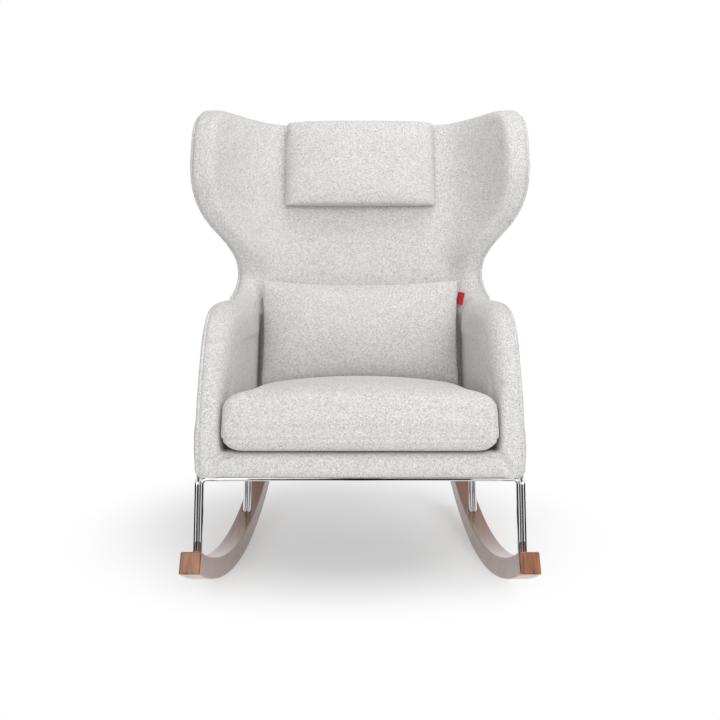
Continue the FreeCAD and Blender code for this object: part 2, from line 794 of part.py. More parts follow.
def seat_wire(place, wall):
    """Cross-section of the seat cushion: flat base, rounded sides, crowned top."""
    share = (1.0 + place) / 2.0
    draw = SEAT_END_DRAW * (1.0 - math.sqrt(1.0 - place ** 8))
    crown = SEAT_END_CROWN + (1.0 - SEAT_END_CROWN) * (1.0 - place ** 2)
    depth = SEAT_FRONT + wall + share * (SEAT_REAR - SEAT_FRONT - 2 * wall)
    taper = (depth - TOE_PIVOT_Y) * math.tan(math.radians(TOE_IN))
    half = SEAT_HALF - taper - draw - wall - SEAT_DRAW_IN * (1.0 - place ** 2)
    low = SEAT_BOTTOM + draw + wall
    side = SEAT_SIDE_TOP - draw - wall
    peak = side + SEAT_CROWN * crown
    turn = SEAT_ROUND
    lift = turn * (1.0 - math.sqrt(0.5))

    def at(x, z):
        return vec(x, depth, z)

    edges = [
        Part.LineSegment(at(-half + turn, low), at(half - turn, low)).toShape(),
        Part.Arc(at(half - turn, low), at(half - lift, low + lift), at(half, low + turn)).toShape(),
        Part.LineSegment(at(half, low + turn), at(half, side - turn)).toShape(),
        Part.Arc(at(half, side - turn), at(half - lift, side - lift), at(half - turn, side)).toShape(),
        Part.Arc(at(half - turn, side), at(0, peak), at(-half + turn, side)).toShape(),
        Part.Arc(at(-half + turn, side), at(-half + lift, side - lift), at(-half, side - turn)).toShape(),
        Part.LineSegment(at(-half, side - turn), at(-half, low + turn)).toShape(),
        Part.Arc(at(-half, low + turn), at(-half + lift, low + lift), at(-half + turn, low)).toShape(),
    ]
    return Part.Wire(edges)


def seat_form(wall):
    return Part.makeLoft([seat_wire(place, wall) for place in stations(SEAT_SECTIONS)], True, False)


def lumbar_wire(place, wall):
    """Lens section of the lumbar cushion with a blunt sewn edge above and below."""
    x = place * (LUMBAR_HALF - wall)
    swell = (1.0 - place ** 2) ** LUMBAR_SWELL_POWER
    thick = LUMBAR_END_THICK + (LUMBAR_THICK - LUMBAR_END_THICK) * swell
    bulge = thick / 2.0 - wall
    edge = (LUMBAR_EDGE - wall) / 2.0
    top = LUMBAR_HALF_TALL + LUMBAR_EAR * place ** 2 - wall
    low = wall - LUMBAR_HALF_TALL - LUMBAR_LOW_EAR * place ** 2
    middle = (top + low) / 2.0

    def at(y, z):
        return vec(x, y, z)

    edges = [
        Part.Arc(at(-edge, low), at(-bulge, middle), at(-edge, top)).toShape(),
        Part.LineSegment(at(-edge, top), at(edge, top)).toShape(),
        Part.Arc(at(edge, top), at(bulge, middle), at(edge, low)).toShape(),
        Part.LineSegment(at(edge, low), at(-edge, low)).toShape(),
    ]
    return Part.Wire(edges)


def against_back(shape, level, clearance):
    """Lay a shape drawn upright against the inside back at a height."""
    laid = shape.copy()
    laid.rotate(vec(0, 0, 0), vec(1, 0, 0), -math.degrees(math.atan(BACK_SLOPE)))
    laid.translate(vec(0, back_face(level) - clearance, level))
    return laid


def lumbar_laid(shape):
    """Lay a lumbar piece with the cushion's back just off the inside back."""
    return against_back(shape, LUMBAR_LEVEL, LUMBAR_THICK / 2.0 + LUMBAR_GAP)


def lumbar_form(wall):
    wires = [lumbar_wire(place, wall) for place in stations(LUMBAR_SECTIONS)]
    return lumbar_laid(Part.makeLoft(wires, True, False))


def lumbar_tab():
    """Plain folded tab that stands out of the cushion's side seam."""
    half_thick = TAB_THICK / 2.0
    tab = box(LUMBAR_HALF, LUMBAR_HALF + TAB_OUT, -half_thick, half_thick, TAB_LOW, TAB_LOW + TAB_TALL)
    return lean(lumbar_laid(tab))


def pillow_wire(place, wall):
    """Rounded section of the head pillow, flat behind."""
    x = place * (PILLOW_HALF - wall)
    swell = math.sqrt(1.0 - place ** 4)
    thick = PILLOW_END_THICK + (PILLOW_THICK - PILLOW_END_THICK) * swell
    tall = PILLOW_HALF_TALL - PILLOW_DRAW_IN * place ** 2 - wall
    rear = -wall
    front = wall - thick
    soft = PILLOW_ROUND - wall
    corners = [
        (vec(x, rear, -tall), soft / 2.0),
        (vec(x, rear, tall), soft / 2.0),
        (vec(x, front, tall), soft),
        (vec(x, front, -tall), soft),
    ]
    return outline(corners)


def pillow_form(wall):
    wires = [pillow_wire(place, wall) for place in stations(PILLOW_SECTIONS)]
    return against_back(Part.makeLoft(wires, True, False), PILLOW_LEVEL, STRAP_THICK + PILLOW_GAP)


def covered(form):
    """Sewn cover and core of a cushion from its form."""
    cover = form(0.0).cut(form(COVER_WALL))
    return lean(cover), lean(form(COVER_WALL + CORE_GAP))


def strap_outline(grow, front_end, rear_end):
    """Side outline of the back top grown outwards, open ends cut square."""
    return [
        (back_face(front_end) - grow, front_end, 0.0),
        (back_face(BACK_TOP + grow) - grow, BACK_TOP + grow, BACK_TOP_ROUND + grow),
        (outer_back(BACK_TOP + grow) + grow, BACK_TOP + grow, BACK_REAR_ROUND + grow),
        (outer_back(rear_end) + grow, rear_end, 0.0),
    ]


def head_strap():
    """Wide padded strap over the top of the back, fixed in place."""
    outer = side_prism(strap_outline(STRAP_THICK, STRAP_FRONT_END, STRAP_REAR_END), -STRAP_HALF, STRAP_HALF)
    inner = side_prism(strap_outline(RAIL_GAP, BODY_BOTTOM, BODY_BOTTOM), -FAR, FAR)
    return lean(outer.cut(inner))


def on_outer_back(shape, level, clearance):
    """Lay a shape drawn upright against the outside back at a height."""
    laid = shape.copy()
    laid.rotate(vec(0, 0, 0), vec(1, 0, 0), -math.degrees(math.atan(OUTER_BACK_SLOPE)))
    laid.translate(vec(0, outer_back(level) + clearance, level))
    return laid


def weight_boxes(gap):
    """Two flat bars one above the other inside the pouch, grown by a gap."""
    half = WEIGHT_LONG / 2.0 + gap
    near = WEIGHT_IN - gap
    far = WEIGHT_IN + WEIGHT_THICK + gap
    return [box(-half, half, near, far, low - gap, low + WEIGHT_TALL + gap) for low in WEIGHT_LOWS]


def weight_pouch():
    pouch = box(-STRAP_HALF, STRAP_HALF, 0, POUCH_THICK, 0, POUCH_TALL)
    soft = pouch.makeFillet(POUCH_ROUND, pouch.Edges)
    hollow = soft.cut(bundle(weight_boxes(RAIL_GAP)))
    return lean(on_outer_back(hollow, POUCH_BOTTOM, STRAP_THICK + SLIDE_GAP))


def weight_bars():
    return lean(on_outer_back(bundle(weight_boxes(0.0)), POUCH_BOTTOM, STRAP_THICK + SLIDE_GAP))


def paired(nodes, name, shape):
    """Add a right hand piece and its mirror image as two nodes."""
    nodes[name + "_right"] = shape
    nodes[name + "_left"] = mirrored(shape)


def running_gear(nodes):
    rocker, plugs = rocker_pieces()
    paired(nodes, "rocker", rocker)
    front, rear = leg_places()
    nodes["front_leg_frame"] = cross_frame(front)
    nodes["rear_leg_frame"] = cross_frame(rear)
    paired(nodes, "side_leg_frame", side_frame())
    feet = [foot_plate(front), foot_plate(rear)]
    screws = [rocker_screw(front), rocker_screw(rear)]
    plates = [mounting_plate(place) for place in plate_places()]
    bolts = [frame_bolt(spot) for spot in bolt_spots()]
    for name, pieces in (("foot_plates", feet), ("rocker_screws", screws), ("rocker_plugs", plugs),
                         ("mounting_plates", plates), ("frame_bolts", bolts)):
        nodes[name] = bundle(pieces + [mirrored(piece) for piece in pieces])


def wooden_frame(nodes):
    nodes["seat_front_rail"] = front_rail()
    nodes["seat_rear_rail"] = rear_rail()
    paired(nodes, "seat_side_rail", side_rail())
    paired(nodes, "arm_frame", arm_frame())
    bolts = arm_bolts()
    nodes["arm_bolts"] = bundle(bolts + [mirrored(bolt) for bolt in bolts])
    paired(nodes, "back_post", back_post())
    nodes["back_middle_rail"] = middle_rail()
    nodes["back_top_rail"] = top_rail()
    paired(nodes, "wing_frame", wing_frame())


def suspension(nodes):
    nodes["seat_webbing_long"] = seat_webbing_long()
    nodes["seat_webbing_cross"] = seat_webbing_cross()
    nodes["back_webbing"] = back_webbing()
    nodes["seat_deck"] = seat_deck()
    nodes["dust_cover"] = dust_cover()
    nodes["outside_back_panel"] = outside_panel()


def fixed_upholstery(nodes):
    nodes["front_rail_pad"] = front_pad()
    paired(nodes, "arm_pad", arm_pad())
    paired(nodes, "wing_pad", wing_pad())
    nodes["back_pad"] = back_pad()


def loose_upholstery(nodes):
    nodes["seat_cushion_cover"], nodes["seat_cushion_core"] = covered(seat_form)
    nodes["lumbar_cushion_cover"], nodes["lumbar_cushion_fill"] = covered(lumbar_form)
    nodes["lumbar_tab"] = lumbar_tab()
    nodes["head_pillow_cover"], nodes["head_pillow_fill"] = covered(pillow_form)
    nodes["head_pillow_strap"] = head_strap()
    nodes["weight_pouch"] = weight_pouch()
    nodes["weight_bars"] = weight_bars()


def main():
    nodes = {}
    running_gear(nodes)
    wooden_frame(nodes)
    suspension(nodes)
    fixed_upholstery(nodes)
    loose_upholstery(nodes)
    os.makedirs("parts", exist_ok=True)
    for name, shape in nodes.items():
        print(name, shape.isValid(), len(shape.Solids), "solids", round(shape.Volume / 1000.0, 1), "cm3")
        shape.exportStep("parts/" + name + ".step")


main()
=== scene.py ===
import logging
import math
from dataclasses import dataclass, field
from enum import Enum
from typing import Any, Iterable, Sequence

import bmesh
import bpy
import numpy as np
from mathutils import Matrix, Vector
from mathutils.bvhtree import BVHTree
from mathutils.kdtree import KDTree


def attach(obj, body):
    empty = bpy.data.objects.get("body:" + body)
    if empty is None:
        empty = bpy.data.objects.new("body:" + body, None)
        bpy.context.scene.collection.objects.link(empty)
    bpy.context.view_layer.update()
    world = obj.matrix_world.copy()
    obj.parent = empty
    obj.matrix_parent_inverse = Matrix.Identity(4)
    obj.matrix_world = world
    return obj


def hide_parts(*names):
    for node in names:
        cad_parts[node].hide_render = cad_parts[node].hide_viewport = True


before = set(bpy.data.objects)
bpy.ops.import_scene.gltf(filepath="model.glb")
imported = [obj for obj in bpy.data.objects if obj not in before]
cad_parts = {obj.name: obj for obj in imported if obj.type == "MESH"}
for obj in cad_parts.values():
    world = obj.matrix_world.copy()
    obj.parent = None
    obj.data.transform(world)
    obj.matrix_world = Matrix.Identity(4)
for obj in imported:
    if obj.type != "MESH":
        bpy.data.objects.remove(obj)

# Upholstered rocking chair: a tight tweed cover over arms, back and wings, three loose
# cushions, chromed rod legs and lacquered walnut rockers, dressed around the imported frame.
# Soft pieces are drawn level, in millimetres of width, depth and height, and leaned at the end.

log = logging.getLogger("rocking_chair")

Values = np.ndarray | float
Faces = list[tuple[int, ...]]
Form = tuple[np.ndarray, Faces]

MM = 0.001

# Rest attitude of the chair, shared with the frame
LEAN_DEG = 6.5
LEAN_DEPTH = -345.0
LEAN_HEIGHT = 288.0
TOE_DEG = 5.77
TOE_ACROSS = 352.0
TOE_DEPTH = -350.0

# Planes of the back and of the seat frame, drawn level
BACK_SLOPE = 0.1427
BACK_LEVEL = 490.0
BACK_DEPTH = 75.0
OUTER_SLOPE = 0.0243
OUTER_DEPTH = 215.0
BODY_BOTTOM = 298.0
DECK_TOP = 348.0
ARM_THICK = 54.0
ARM_TOP = 676.0

# Swell beside a seam, as shares of its depth and of its groove's half width
SWELL_HEIGHT = 0.3
SWELL_AWAY = 2.6
SWELL_WIDTH = 1.3

# Cloth simulation: frames that it runs, and the least hold that pins a point
CLOTH_FRAMES = 20
LEAST_HOLD = 0.01

# Rounds of smoothing along a line laid on a skin
EVENING_ROUNDS = 6

# Points nearer than this are one point, in metres
SAME_POINT = 1e-5

# An outline's edge that rises less than this is level, and a corner that turns less is straight
LEVEL_EDGE = 1e-6
STRAIGHT_CORNER = 0.05

# Blender's wave texture turns this many radians in one unit of its scale
WAVE_RADIANS = 20.0
# Threads and plies are finer than a pixel, so they are drawn this many times as coarse,
# to show in the render
COARSER = 6.2832


class Body(str, Enum):
    """Moving bodies of the frame."""

    CHAIR = "chair"
    SEAT = "seat_cushion"
    LUMBAR = "lumbar_cushion"
    PILLOW = "head_pillow"
    WEIGHT = "counterweight"


class Slot(str, Enum):
    """Finish slots of the record for the pieces drawn here."""

    TWEED = "grey_upholstery"
    WEBBING = "webbing"
    TAB = "woven_tab"


def back_face(height: Values) -> Values:
    """Depth of the inside back at a height."""
    return BACK_DEPTH + (height - BACK_LEVEL) * BACK_SLOPE


def outer_back(height: Values) -> Values:
    """Depth of the outside back at a height."""
    return OUTER_DEPTH + (height - BODY_BOTTOM) * OUTER_SLOPE


def inner_arm(depth: Values) -> Values:
    """Half width between the toed-in arms at a depth."""
    turn = math.radians(TOE_DEG)
    return TOE_ACROSS - ARM_THICK / math.cos(turn) - (depth - TOE_DEPTH) * math.tan(turn)


def tipped(angle_deg: float, depth: float, height: float) -> Matrix:
    """Turn about a line across the chair.

    Args:
        angle_deg: Angle in degrees, positive tips the top backwards.
        depth: Depth of the line in millimetres.
        height: Height of the line in millimetres.

    Returns:
        The turn as a matrix in metres.
    """
    pivot = Matrix.Translation((0.0, depth * MM, height * MM))
    return pivot @ Matrix.Rotation(-math.radians(angle_deg), 4, "X") @ pivot.inverted()


LEAN = tipped(LEAN_DEG, LEAN_DEPTH, LEAN_HEIGHT)


def toed(points: np.ndarray) -> np.ndarray:
    """Turn points of the right side, drawn square, to the toe-in of the arms.

    Args:
        points: Rows of width, depth and height in millimetres.

    Returns:
        The turned rows.
    """
    turn = math.radians(TOE_DEG)
    across = points[:, 0] - TOE_ACROSS
    along = points[:, 1] - TOE_DEPTH
    moved = points.copy()
    moved[:, 0] = TOE_ACROSS + across * math.cos(turn) - along * math.sin(turn)
    moved[:, 1] = TOE_DEPTH + across * math.sin(turn) + along * math.cos(turn)
    return moved


def mirrored(points: np.ndarray) -> np.ndarray:
    """The left hand copy of right hand points."""
    return points * np.array((-1.0, 1.0, 1.0))


def soft_least(first: np.ndarray, second: np.ndarray, reach: Values) -> np.ndarray:
    """Lesser of two values, eased where they are closer than a reach.

    Args:
        first: One set of values.
        second: The other set.
        reach: Difference below which the two run into each other.

    Returns:
        The eased lesser values.
    """
    near = np.maximum(reach - np.abs(first - second), 0.0) / reach
    return np.minimum(first, second) - near * near * reach / 4.0


def soft_most(first: np.ndarray, second: np.ndarray, reach: Values) -> np.ndarray:
    """Greater of two values, eased where they are closer than a reach.

    Args:
        first: One set of values.
        second: The other set.
        reach: Difference below which the two run into each other.

    Returns:
        The eased greater values.
    """
    return -soft_least(-first, -second, reach)


def rolled(inset: np.ndarray, radius: float) -> np.ndarray:
    """How far a rolled edge falls back at a distance in from its rim.

    Args:
        inset: Distance in from the rim.
        radius: Radius of the roll.

    Returns:
        The fall, nothing beyond the roll and a whole radius at the rim.
    """
    share = np.clip(1.0 - inset / radius, 0.0, 1.0)
    return radius * (1.0 - np.sqrt(1.0 - share * share))


def eased(values: Values, start: float, end: float) -> Values:
    """Smooth step from nothing at a start to a whole at an end.

    Args:
        values: Where to read the step.
        start: Value up to which it is 0.
        end: Value from which it is 1.

    Returns:
        The step at each value.
    """
    share = np.clip((values - start) / (end - start), 0.0, 1.0)
    return share * share * (3.0 - 2.0 * share)


def bell(values: Values, width: float) -> Values:
    """Bump of height 1 at nothing, which dies away over a width."""
    return np.exp(-((values / width) ** 2))


def crowded(count: int) -> np.ndarray:
    """Places from -1 to 1 that crowd towards both ends."""
    return np.sin(np.linspace(-1.0, 1.0, count) * math.pi / 2.0)


def upright(across: float, section: np.ndarray) -> np.ndarray:
    """Stand a section of depth and height at a distance from the middle plane."""
    return np.column_stack((np.full(len(section), across), section))


@dataclass(frozen=True)
class Profile:
    """Smooth line through measured stations that doesn't overshoot between them."""

    stations: tuple[tuple[float, float], ...]

    def __call__(self, places: Values) -> np.ndarray:
        """Values of the line.

        Args:
            places: Where to read the line.

        Returns:
            The values there, held level beyond both ends.
        """
        xs, ys = np.array(self.stations, float).T
        gaps = np.diff(xs)
        steps = np.diff(ys) / gaps
        slopes = np.concatenate((steps[:1], np.zeros(len(xs) - 2), steps[-1:]))
        before = 2.0 * gaps[1:] + gaps[:-1]
        after = gaps[1:] + 2.0 * gaps[:-1]
        rising = steps[:-1] * steps[1:] > 0.0
        low = np.where(rising, steps[:-1], 1.0)
        high = np.where(rising, steps[1:], 1.0)
        slopes[1:-1] = np.where(rising, (before + after) / (before / low + after / high), 0.0)
        held = np.clip(places, xs[0], xs[-1])
        at = np.clip(np.searchsorted(xs, held) - 1, 0, len(gaps) - 1)
        share = (held - xs[at]) / gaps[at]
        rest = 1.0 - share
        line = ys[at] * (1.0 + 2.0 * share) * rest**2 + ys[at + 1] * share**2 * (3.0 - 2.0 * share)
        return line + gaps[at] * (slopes[at] * share * rest**2 - slopes[at + 1] * share**2 * rest)


def path_through(points: Sequence[Sequence[float]], step: float) -> np.ndarray:
    """Evenly spaced points on a smooth path.

    Args:
        points: Points that the path goes through, in millimetres.
        step: Spacing in millimetres.

    Returns:
        Rows of points along the path.
    """
    knots = np.array(points, float)
    runs = np.concatenate(((0.0,), np.cumsum(np.linalg.norm(np.diff(knots, axis=0), axis=1))))
    places = np.linspace(0.0, runs[-1], max(2, int(runs[-1] / step) + 1))
    lines = [Profile(tuple(zip(runs, column)))(places) for column in knots.T]
    return np.column_stack(lines)


def linked(name: str, data: bpy.types.ID) -> bpy.types.Object:
    """Make an object of some data and link it to the scene."""
    thing = bpy.data.objects.new(name, data)
    bpy.context.scene.collection.objects.link(thing)
    return thing


def mesh_object(name: str, points: np.ndarray, faces: Sequence[Sequence[int]]) -> bpy.types.Object:
    """Make a mesh object from millimetre points.

    Args:
        name: Name of the piece.
        points: Rows of width, depth and height in millimetres.
        faces: Corner numbers of each face.

    Returns:
        The new object, linked to the scene, with outward faces and smooth shading.
    """
    mesh = bpy.data.meshes.new(name)
    mesh.from_pydata((np.asarray(points, float) * MM).tolist(), [], [list(face) for face in faces])
    build = bmesh.new()
    build.from_mesh(mesh)
    bmesh.ops.remove_doubles(build, verts=build.verts, dist=SAME_POINT)
    bmesh.ops.recalc_face_normals(build, faces=build.faces)
    build.to_mesh(mesh)
    build.free()
    mesh.shade_smooth()
    return linked(name, mesh)


def grid_faces(rows: int, columns: int, start: int = 0, wrap: bool = False) -> Faces:
    """Quads between the rows of a point grid.

    Args:
        rows: Number of rows.
        columns: Points in each row.
        start: Number of the grid's first point.
        wrap: Whether each row closes on itself.

    Returns:
        Corner numbers of each quad.
    """
    faces = []
    for row in range(rows - 1):
        for column in range(columns if wrap else columns - 1):
            near = start + row * columns
            ahead = (column + 1) % columns
            faces.append((near + column, near + ahead, near + columns + ahead, near + columns + column))
    return faces


def paired_faces(rows: int, columns: int) -> Faces:
    """Faces of two point grids, one after the other, and of the band that joins their edges.

    Args:
        rows: Number of rows in each grid.
        columns: Points in each row.

    Returns:
        Corner numbers of each quad of the closed form.
    """
    count = rows * columns
    grid = np.arange(count).reshape(rows, columns)
    edge = np.concatenate((grid[0], grid[1:, -1], grid[-1, -2::-1], grid[-2:0:-1, 0])).tolist()
    band = [(near, far, far + count, near + count) for near, far in zip(edge, edge[1:] + edge[:1])]
    return grid_faces(rows, columns) + grid_faces(rows, columns, start=count) + band


def capped_faces(loops: int, points: int) -> Faces:
    """Faces of a run of closed loops with both of its ends filled.

    Args:
        loops: Number of loops.
        points: Points in each loop.

    Returns:
        Corner numbers of the quads and of the two ends.
    """
    last = (loops - 1) * points
    ends = [tuple(range(points)), tuple(range(last, last + points))]
    return grid_faces(loops, points, wrap=True) + ends


def rounded_block(halves: Sequence[float], radius: float, steps: int) -> Form:
    """Points and faces of a block with rounded edges, finer towards its edges.

    Args:
        halves: Half width, half depth and half height in millimetres.
        radius: Radius of the edges.
        steps: Quads along each side.

    Returns:
        Points about the block's middle, and its quads.
    """
    size = np.array(halves, float)
    places = crowded(steps + 1)
    first, second = (grid.ravel() for grid in np.meshgrid(places, places, indexing="ij"))
    points, faces = [], []
    for axis in range(3):
        for side in (-1.0, 1.0):
            corners = np.empty((first.size, 3))
            corners[:, axis] = side
            corners[:, (axis + 1) % 3] = first
            corners[:, (axis + 2) % 3] = second
            faces += grid_faces(steps + 1, steps + 1, start=len(points) * first.size)
            points.append(corners * size)
    shell = np.concatenate(points)
    core = np.clip(shell, radius - size, size - radius)
    out = shell - core
    return core + radius * out / np.linalg.norm(out, axis=1, keepdims=True), faces


def settle(piece: bpy.types.Object) -> bpy.types.Object:
    """Apply a piece's modifiers to its mesh.

    Args:
        piece: The piece.

    Returns:
        The same piece, without modifiers.
    """
    graph = bpy.context.evaluated_depsgraph_get()
    made = bpy.data.meshes.new_from_object(piece.evaluated_get(graph))
    piece.modifiers.clear()
    piece.data = made
    made.name = piece.name
    made.shade_smooth()
    return piece


def remeshed(piece: bpy.types.Object, voxel_mm: float, easing: int) -> bpy.types.Object:
    """Turn a piece into one closed even skin and ease it.

    Args:
        piece: Closed forms that may run into each other.
        voxel_mm: Grid size in millimetres.
        easing: Rounds of smoothing.

    Returns:
        The same piece with its new mesh.
    """
    skin = piece.modifiers.new("skin", "REMESH")
    skin.mode = "VOXEL"
    skin.voxel_size = voxel_mm * MM
    ease = piece.modifiers.new("ease", "SMOOTH")
    ease.factor = 0.5
    ease.iterations = easing
    return settle(piece)


def level_points(piece: bpy.types.Object) -> np.ndarray:
    """Vertex rows of a piece in millimetres."""
    rows = np.empty(len(piece.data.vertices) * 3, np.float64)
    piece.data.vertices.foreach_get("co", rows)
    return rows.reshape(-1, 3) / MM


def put_points(piece: bpy.types.Object, points: np.ndarray) -> None:
    """Move a piece's vertices to rows in millimetres."""
    piece.data.vertices.foreach_set("co", (points * MM).ravel())
    piece.data.update()


def level_normals(piece: bpy.types.Object) -> np.ndarray:
    """Vertex normals of a piece, one row each."""
    rows = np.empty(len(piece.data.vertices) * 3, np.float64)
    piece.data.vertex_normals.foreach_get("vector", rows)
    return rows.reshape(-1, 3)


def nearness(points: np.ndarray, line: np.ndarray) -> np.ndarray:
    """Distance of each point from a line of closely spaced points.

    Args:
        points: Rows in millimetres.
        line: Rows in millimetres.

    Returns:
        One distance for each point.
    """
    tree = KDTree(len(line))
    for number, spot in enumerate(line):
        tree.insert(spot, number)
    tree.balance()
    return np.array([tree.find(point)[2] for point in points])


def inflated(
    piece: bpy.types.Object, pressure: float, cap_mm: float, held: np.ndarray | None = None
) -> bpy.types.Object:
    """Blow a cushion up as cloth, with its seams held, and keep the result.

    Args:
        piece: Closed even skin.
        pressure: Pressure of the fill.
        cap_mm: Furthest that a point may move.
        held: How firmly each vertex is held, from 0 to 1.

    Returns:
        The same piece with the simulated shape.
    """
    start = level_points(piece)
    cloth = piece.modifiers.new("fill", "CLOTH")
    rules = cloth.settings
    rules.quality = 6
    rules.mass = 0.4
    rules.tension_stiffness = 20.0
    rules.compression_stiffness = 20.0
    rules.shear_stiffness = 8.0
    rules.bending_stiffness = 1.5
    rules.use_pressure = True
    rules.uniform_pressure_force = pressure
    rules.effector_weights.gravity = 0.0
    if held is not None:
        seam = piece.vertex_groups.new(name="seam")
        for number in np.flatnonzero(held > LEAST_HOLD):
            seam.add([int(number)], float(held[number]), "REPLACE")
        rules.vertex_group_mass = seam.name
    cloth.point_cache.frame_start = 1
    cloth.point_cache.frame_end = CLOTH_FRAMES
    for step in range(1, CLOTH_FRAMES + 1):
        bpy.context.scene.frame_set(step)
    graph = bpy.context.evaluated_depsgraph_get()
    moves = level_points(piece.evaluated_get(graph)) - start
    lengths = np.maximum(np.linalg.norm(moves, axis=1, keepdims=True), 1e-9)
    piece.modifiers.clear()
    piece.vertex_groups.clear()
    bpy.context.scene.frame_set(1)
    put_points(piece, start + moves * np.minimum(1.0, cap_mm / lengths))
    return piece


def finer(piece: bpy.types.Object) -> bpy.types.Object:
    """Subdivide a piece once."""
    piece.modifiers.new("finer", "SUBSURF").levels = 1
    return settle(piece)


def sewn(piece: bpy.types.Object, seams: Iterable[np.ndarray], depth_mm: float, width_mm: float) -> None:
    """Press seams into a piece, with a little swell on both sides.

    Args:
        piece: The piece, still drawn level.
        seams: Lines of closely spaced points on the piece.
        depth_mm: Depth of the seam.
        width_mm: Half width of the groove.
    """
    points = level_points(piece)
    away = nearness(points, np.concatenate(list(seams)))
    groove = depth_mm * bell(away, width_mm)
    swell = SWELL_HEIGHT * depth_mm * bell(away - SWELL_AWAY * width_mm, SWELL_WIDTH * width_mm)
    put_points(piece, points + level_normals(piece) * (swell - groove)[:, None])


def on_skin(piece: bpy.types.Object, line: np.ndarray, lift_mm: float) -> np.ndarray:
    """Lay a line on a piece.

    Args:
        piece: The piece, still drawn level.
        line: Rows near its skin, in millimetres.
        lift_mm: How far off the skin the line lies.

    Returns:
        Rows on the skin, evened out along the line.
    """
    graph = bpy.context.evaluated_depsgraph_get()
    tree = BVHTree.FromObject(piece, graph)
    laid = []
    for spot in line:
        place, normal, _, _ = tree.find_nearest(Vector(spot) * MM)
        laid.append(np.array(place) / MM + np.array(normal) * lift_mm)
    rows = np.array(laid)
    for _ in range(EVENING_ROUNDS):
        rows[1:-1] = (rows[:-2] + 2.0 * rows[1:-1] + rows[2:]) / 4.0
    return rows


def tube(name: str, line: np.ndarray, radius_mm: float) -> bpy.types.Object:
    """Round piping along a line, with closed ends.

    Args:
        name: Name of the piece.
        line: Rows in millimetres.
        radius_mm: Radius of the piping.

    Returns:
        The piping as a mesh object.
    """
    curve = bpy.data.curves.new(name + "_path", "CURVE")
    curve.dimensions = "3D"
    curve.bevel_depth = radius_mm * MM
    curve.bevel_resolution = 3
    curve.use_fill_caps = True
    spline = curve.splines.new("POLY")
    spline.points.add(len(line) - 1)
    rows = np.column_stack((line * MM, np.ones(len(line))))
    spline.points.foreach_set("co", rows.ravel())
    holder = linked(name + "_path", curve)
    graph = bpy.context.evaluated_depsgraph_get()
    mesh = bpy.data.meshes.new_from_object(holder.evaluated_get(graph))
    bpy.data.objects.remove(holder)
    bpy.data.curves.remove(curve)
    mesh.name = name
    mesh.shade_smooth()
    return linked(name, mesh)


def dress(piece: bpy.types.Object, finish: bpy.types.Material) -> None:
    """Give a piece or a frame node its one finish."""
    piece.data.materials.clear()
    piece.data.materials.append(finish)


def place(
    piece: bpy.types.Object,
    body: Body,
    slot: Slot,
    finish: bpy.types.Material,
    stands_for: Sequence[str] = (),
) -> bpy.types.Object:
    """Lean a level piece, finish it and set it on its body.

    Args:
        piece: The piece, drawn level.
        body: Body that it rides on.
        slot: Finish slot of the record; not used.
        finish: Its material.
        stands_for: Frame nodes that it stands for.

    Returns:
        The same piece.
    """
    piece.data.transform(LEAN)
    dress(piece, finish)
    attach(piece, body.value)
    if stands_for:
        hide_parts(*stands_for)
    log.info("%s rides on %s, %d faces", piece.name, body.value, len(piece.data.polygons))
    return piece


def linear(code: str) -> tuple[float, float, float, float]:
    """Turn an sRGB hex colour into the linear colour of a shader socket."""
    parts = [int(code.lstrip("#")[at:at + 2], 16) / 255.0 for at in (0, 2, 4)]
    red, green, blue = (
        part / 12.92 if part <= 0.04045 else ((part + 0.055) / 1.055) ** 2.4 for part in parts)
    return red, green, blue, 1.0


def per_metre(size_mm: float) -> float:
    """Texture scale that repeats once in a size in millimetres."""
    return 1.0 / (size_mm * MM)


def waves_per_metre(size_mm: float) -> float:
    """Wave texture scale that repeats once in a size in millimetres."""
    return per_metre(size_mm) * 2.0 * math.pi / WAVE_RADIANS


def add_node(
    tree: bpy.types.NodeTree,
    kind: str,
    settings: dict[str, Any] | None = None,
    inputs: dict[str | int, Any] | None = None,
) -> bpy.types.Node:
    """Add one node with its settings and links.

    Args:
        tree: Node tree of a material or of the world.
        kind: Blender's name of the node's type.
        settings: Properties to set; stops gives a colour ramp's places and colours.
        inputs: Socket name or number to a constant, or to another node's output.

    Returns:
        The new node.
    """
    node = tree.nodes.new(kind)
    for key, value in (settings or {}).items():
        if key == "stops":
            while len(node.color_ramp.elements) < len(value):
                node.color_ramp.elements.new(1.0)
            for element, (spot, colour) in zip(node.color_ramp.elements, value):
                element.position = spot
                element.color = colour
        else:
            setattr(node, key, value)
    for key, value in (inputs or {}).items():
        if isinstance(value, bpy.types.NodeSocket):
            tree.links.new(value, node.inputs[key])
        else:
            node.inputs[key].default_value = value
    return node


def new_material(name: str) -> bpy.types.Material:
    """Make an empty node material with an output node."""
    material = bpy.data.materials.new(name)
    material.use_nodes = True
    material.node_tree.nodes.clear()
    add_node(material.node_tree, "ShaderNodeOutputMaterial")
    return material


def close_material(material: bpy.types.Material, shader: bpy.types.Node) -> bpy.types.Material:
    """Link a shader to a material's output and return the material."""
    tree = material.node_tree
    tree.links.new(shader.outputs[0], tree.nodes["Material Output"].inputs["Surface"])
    return material


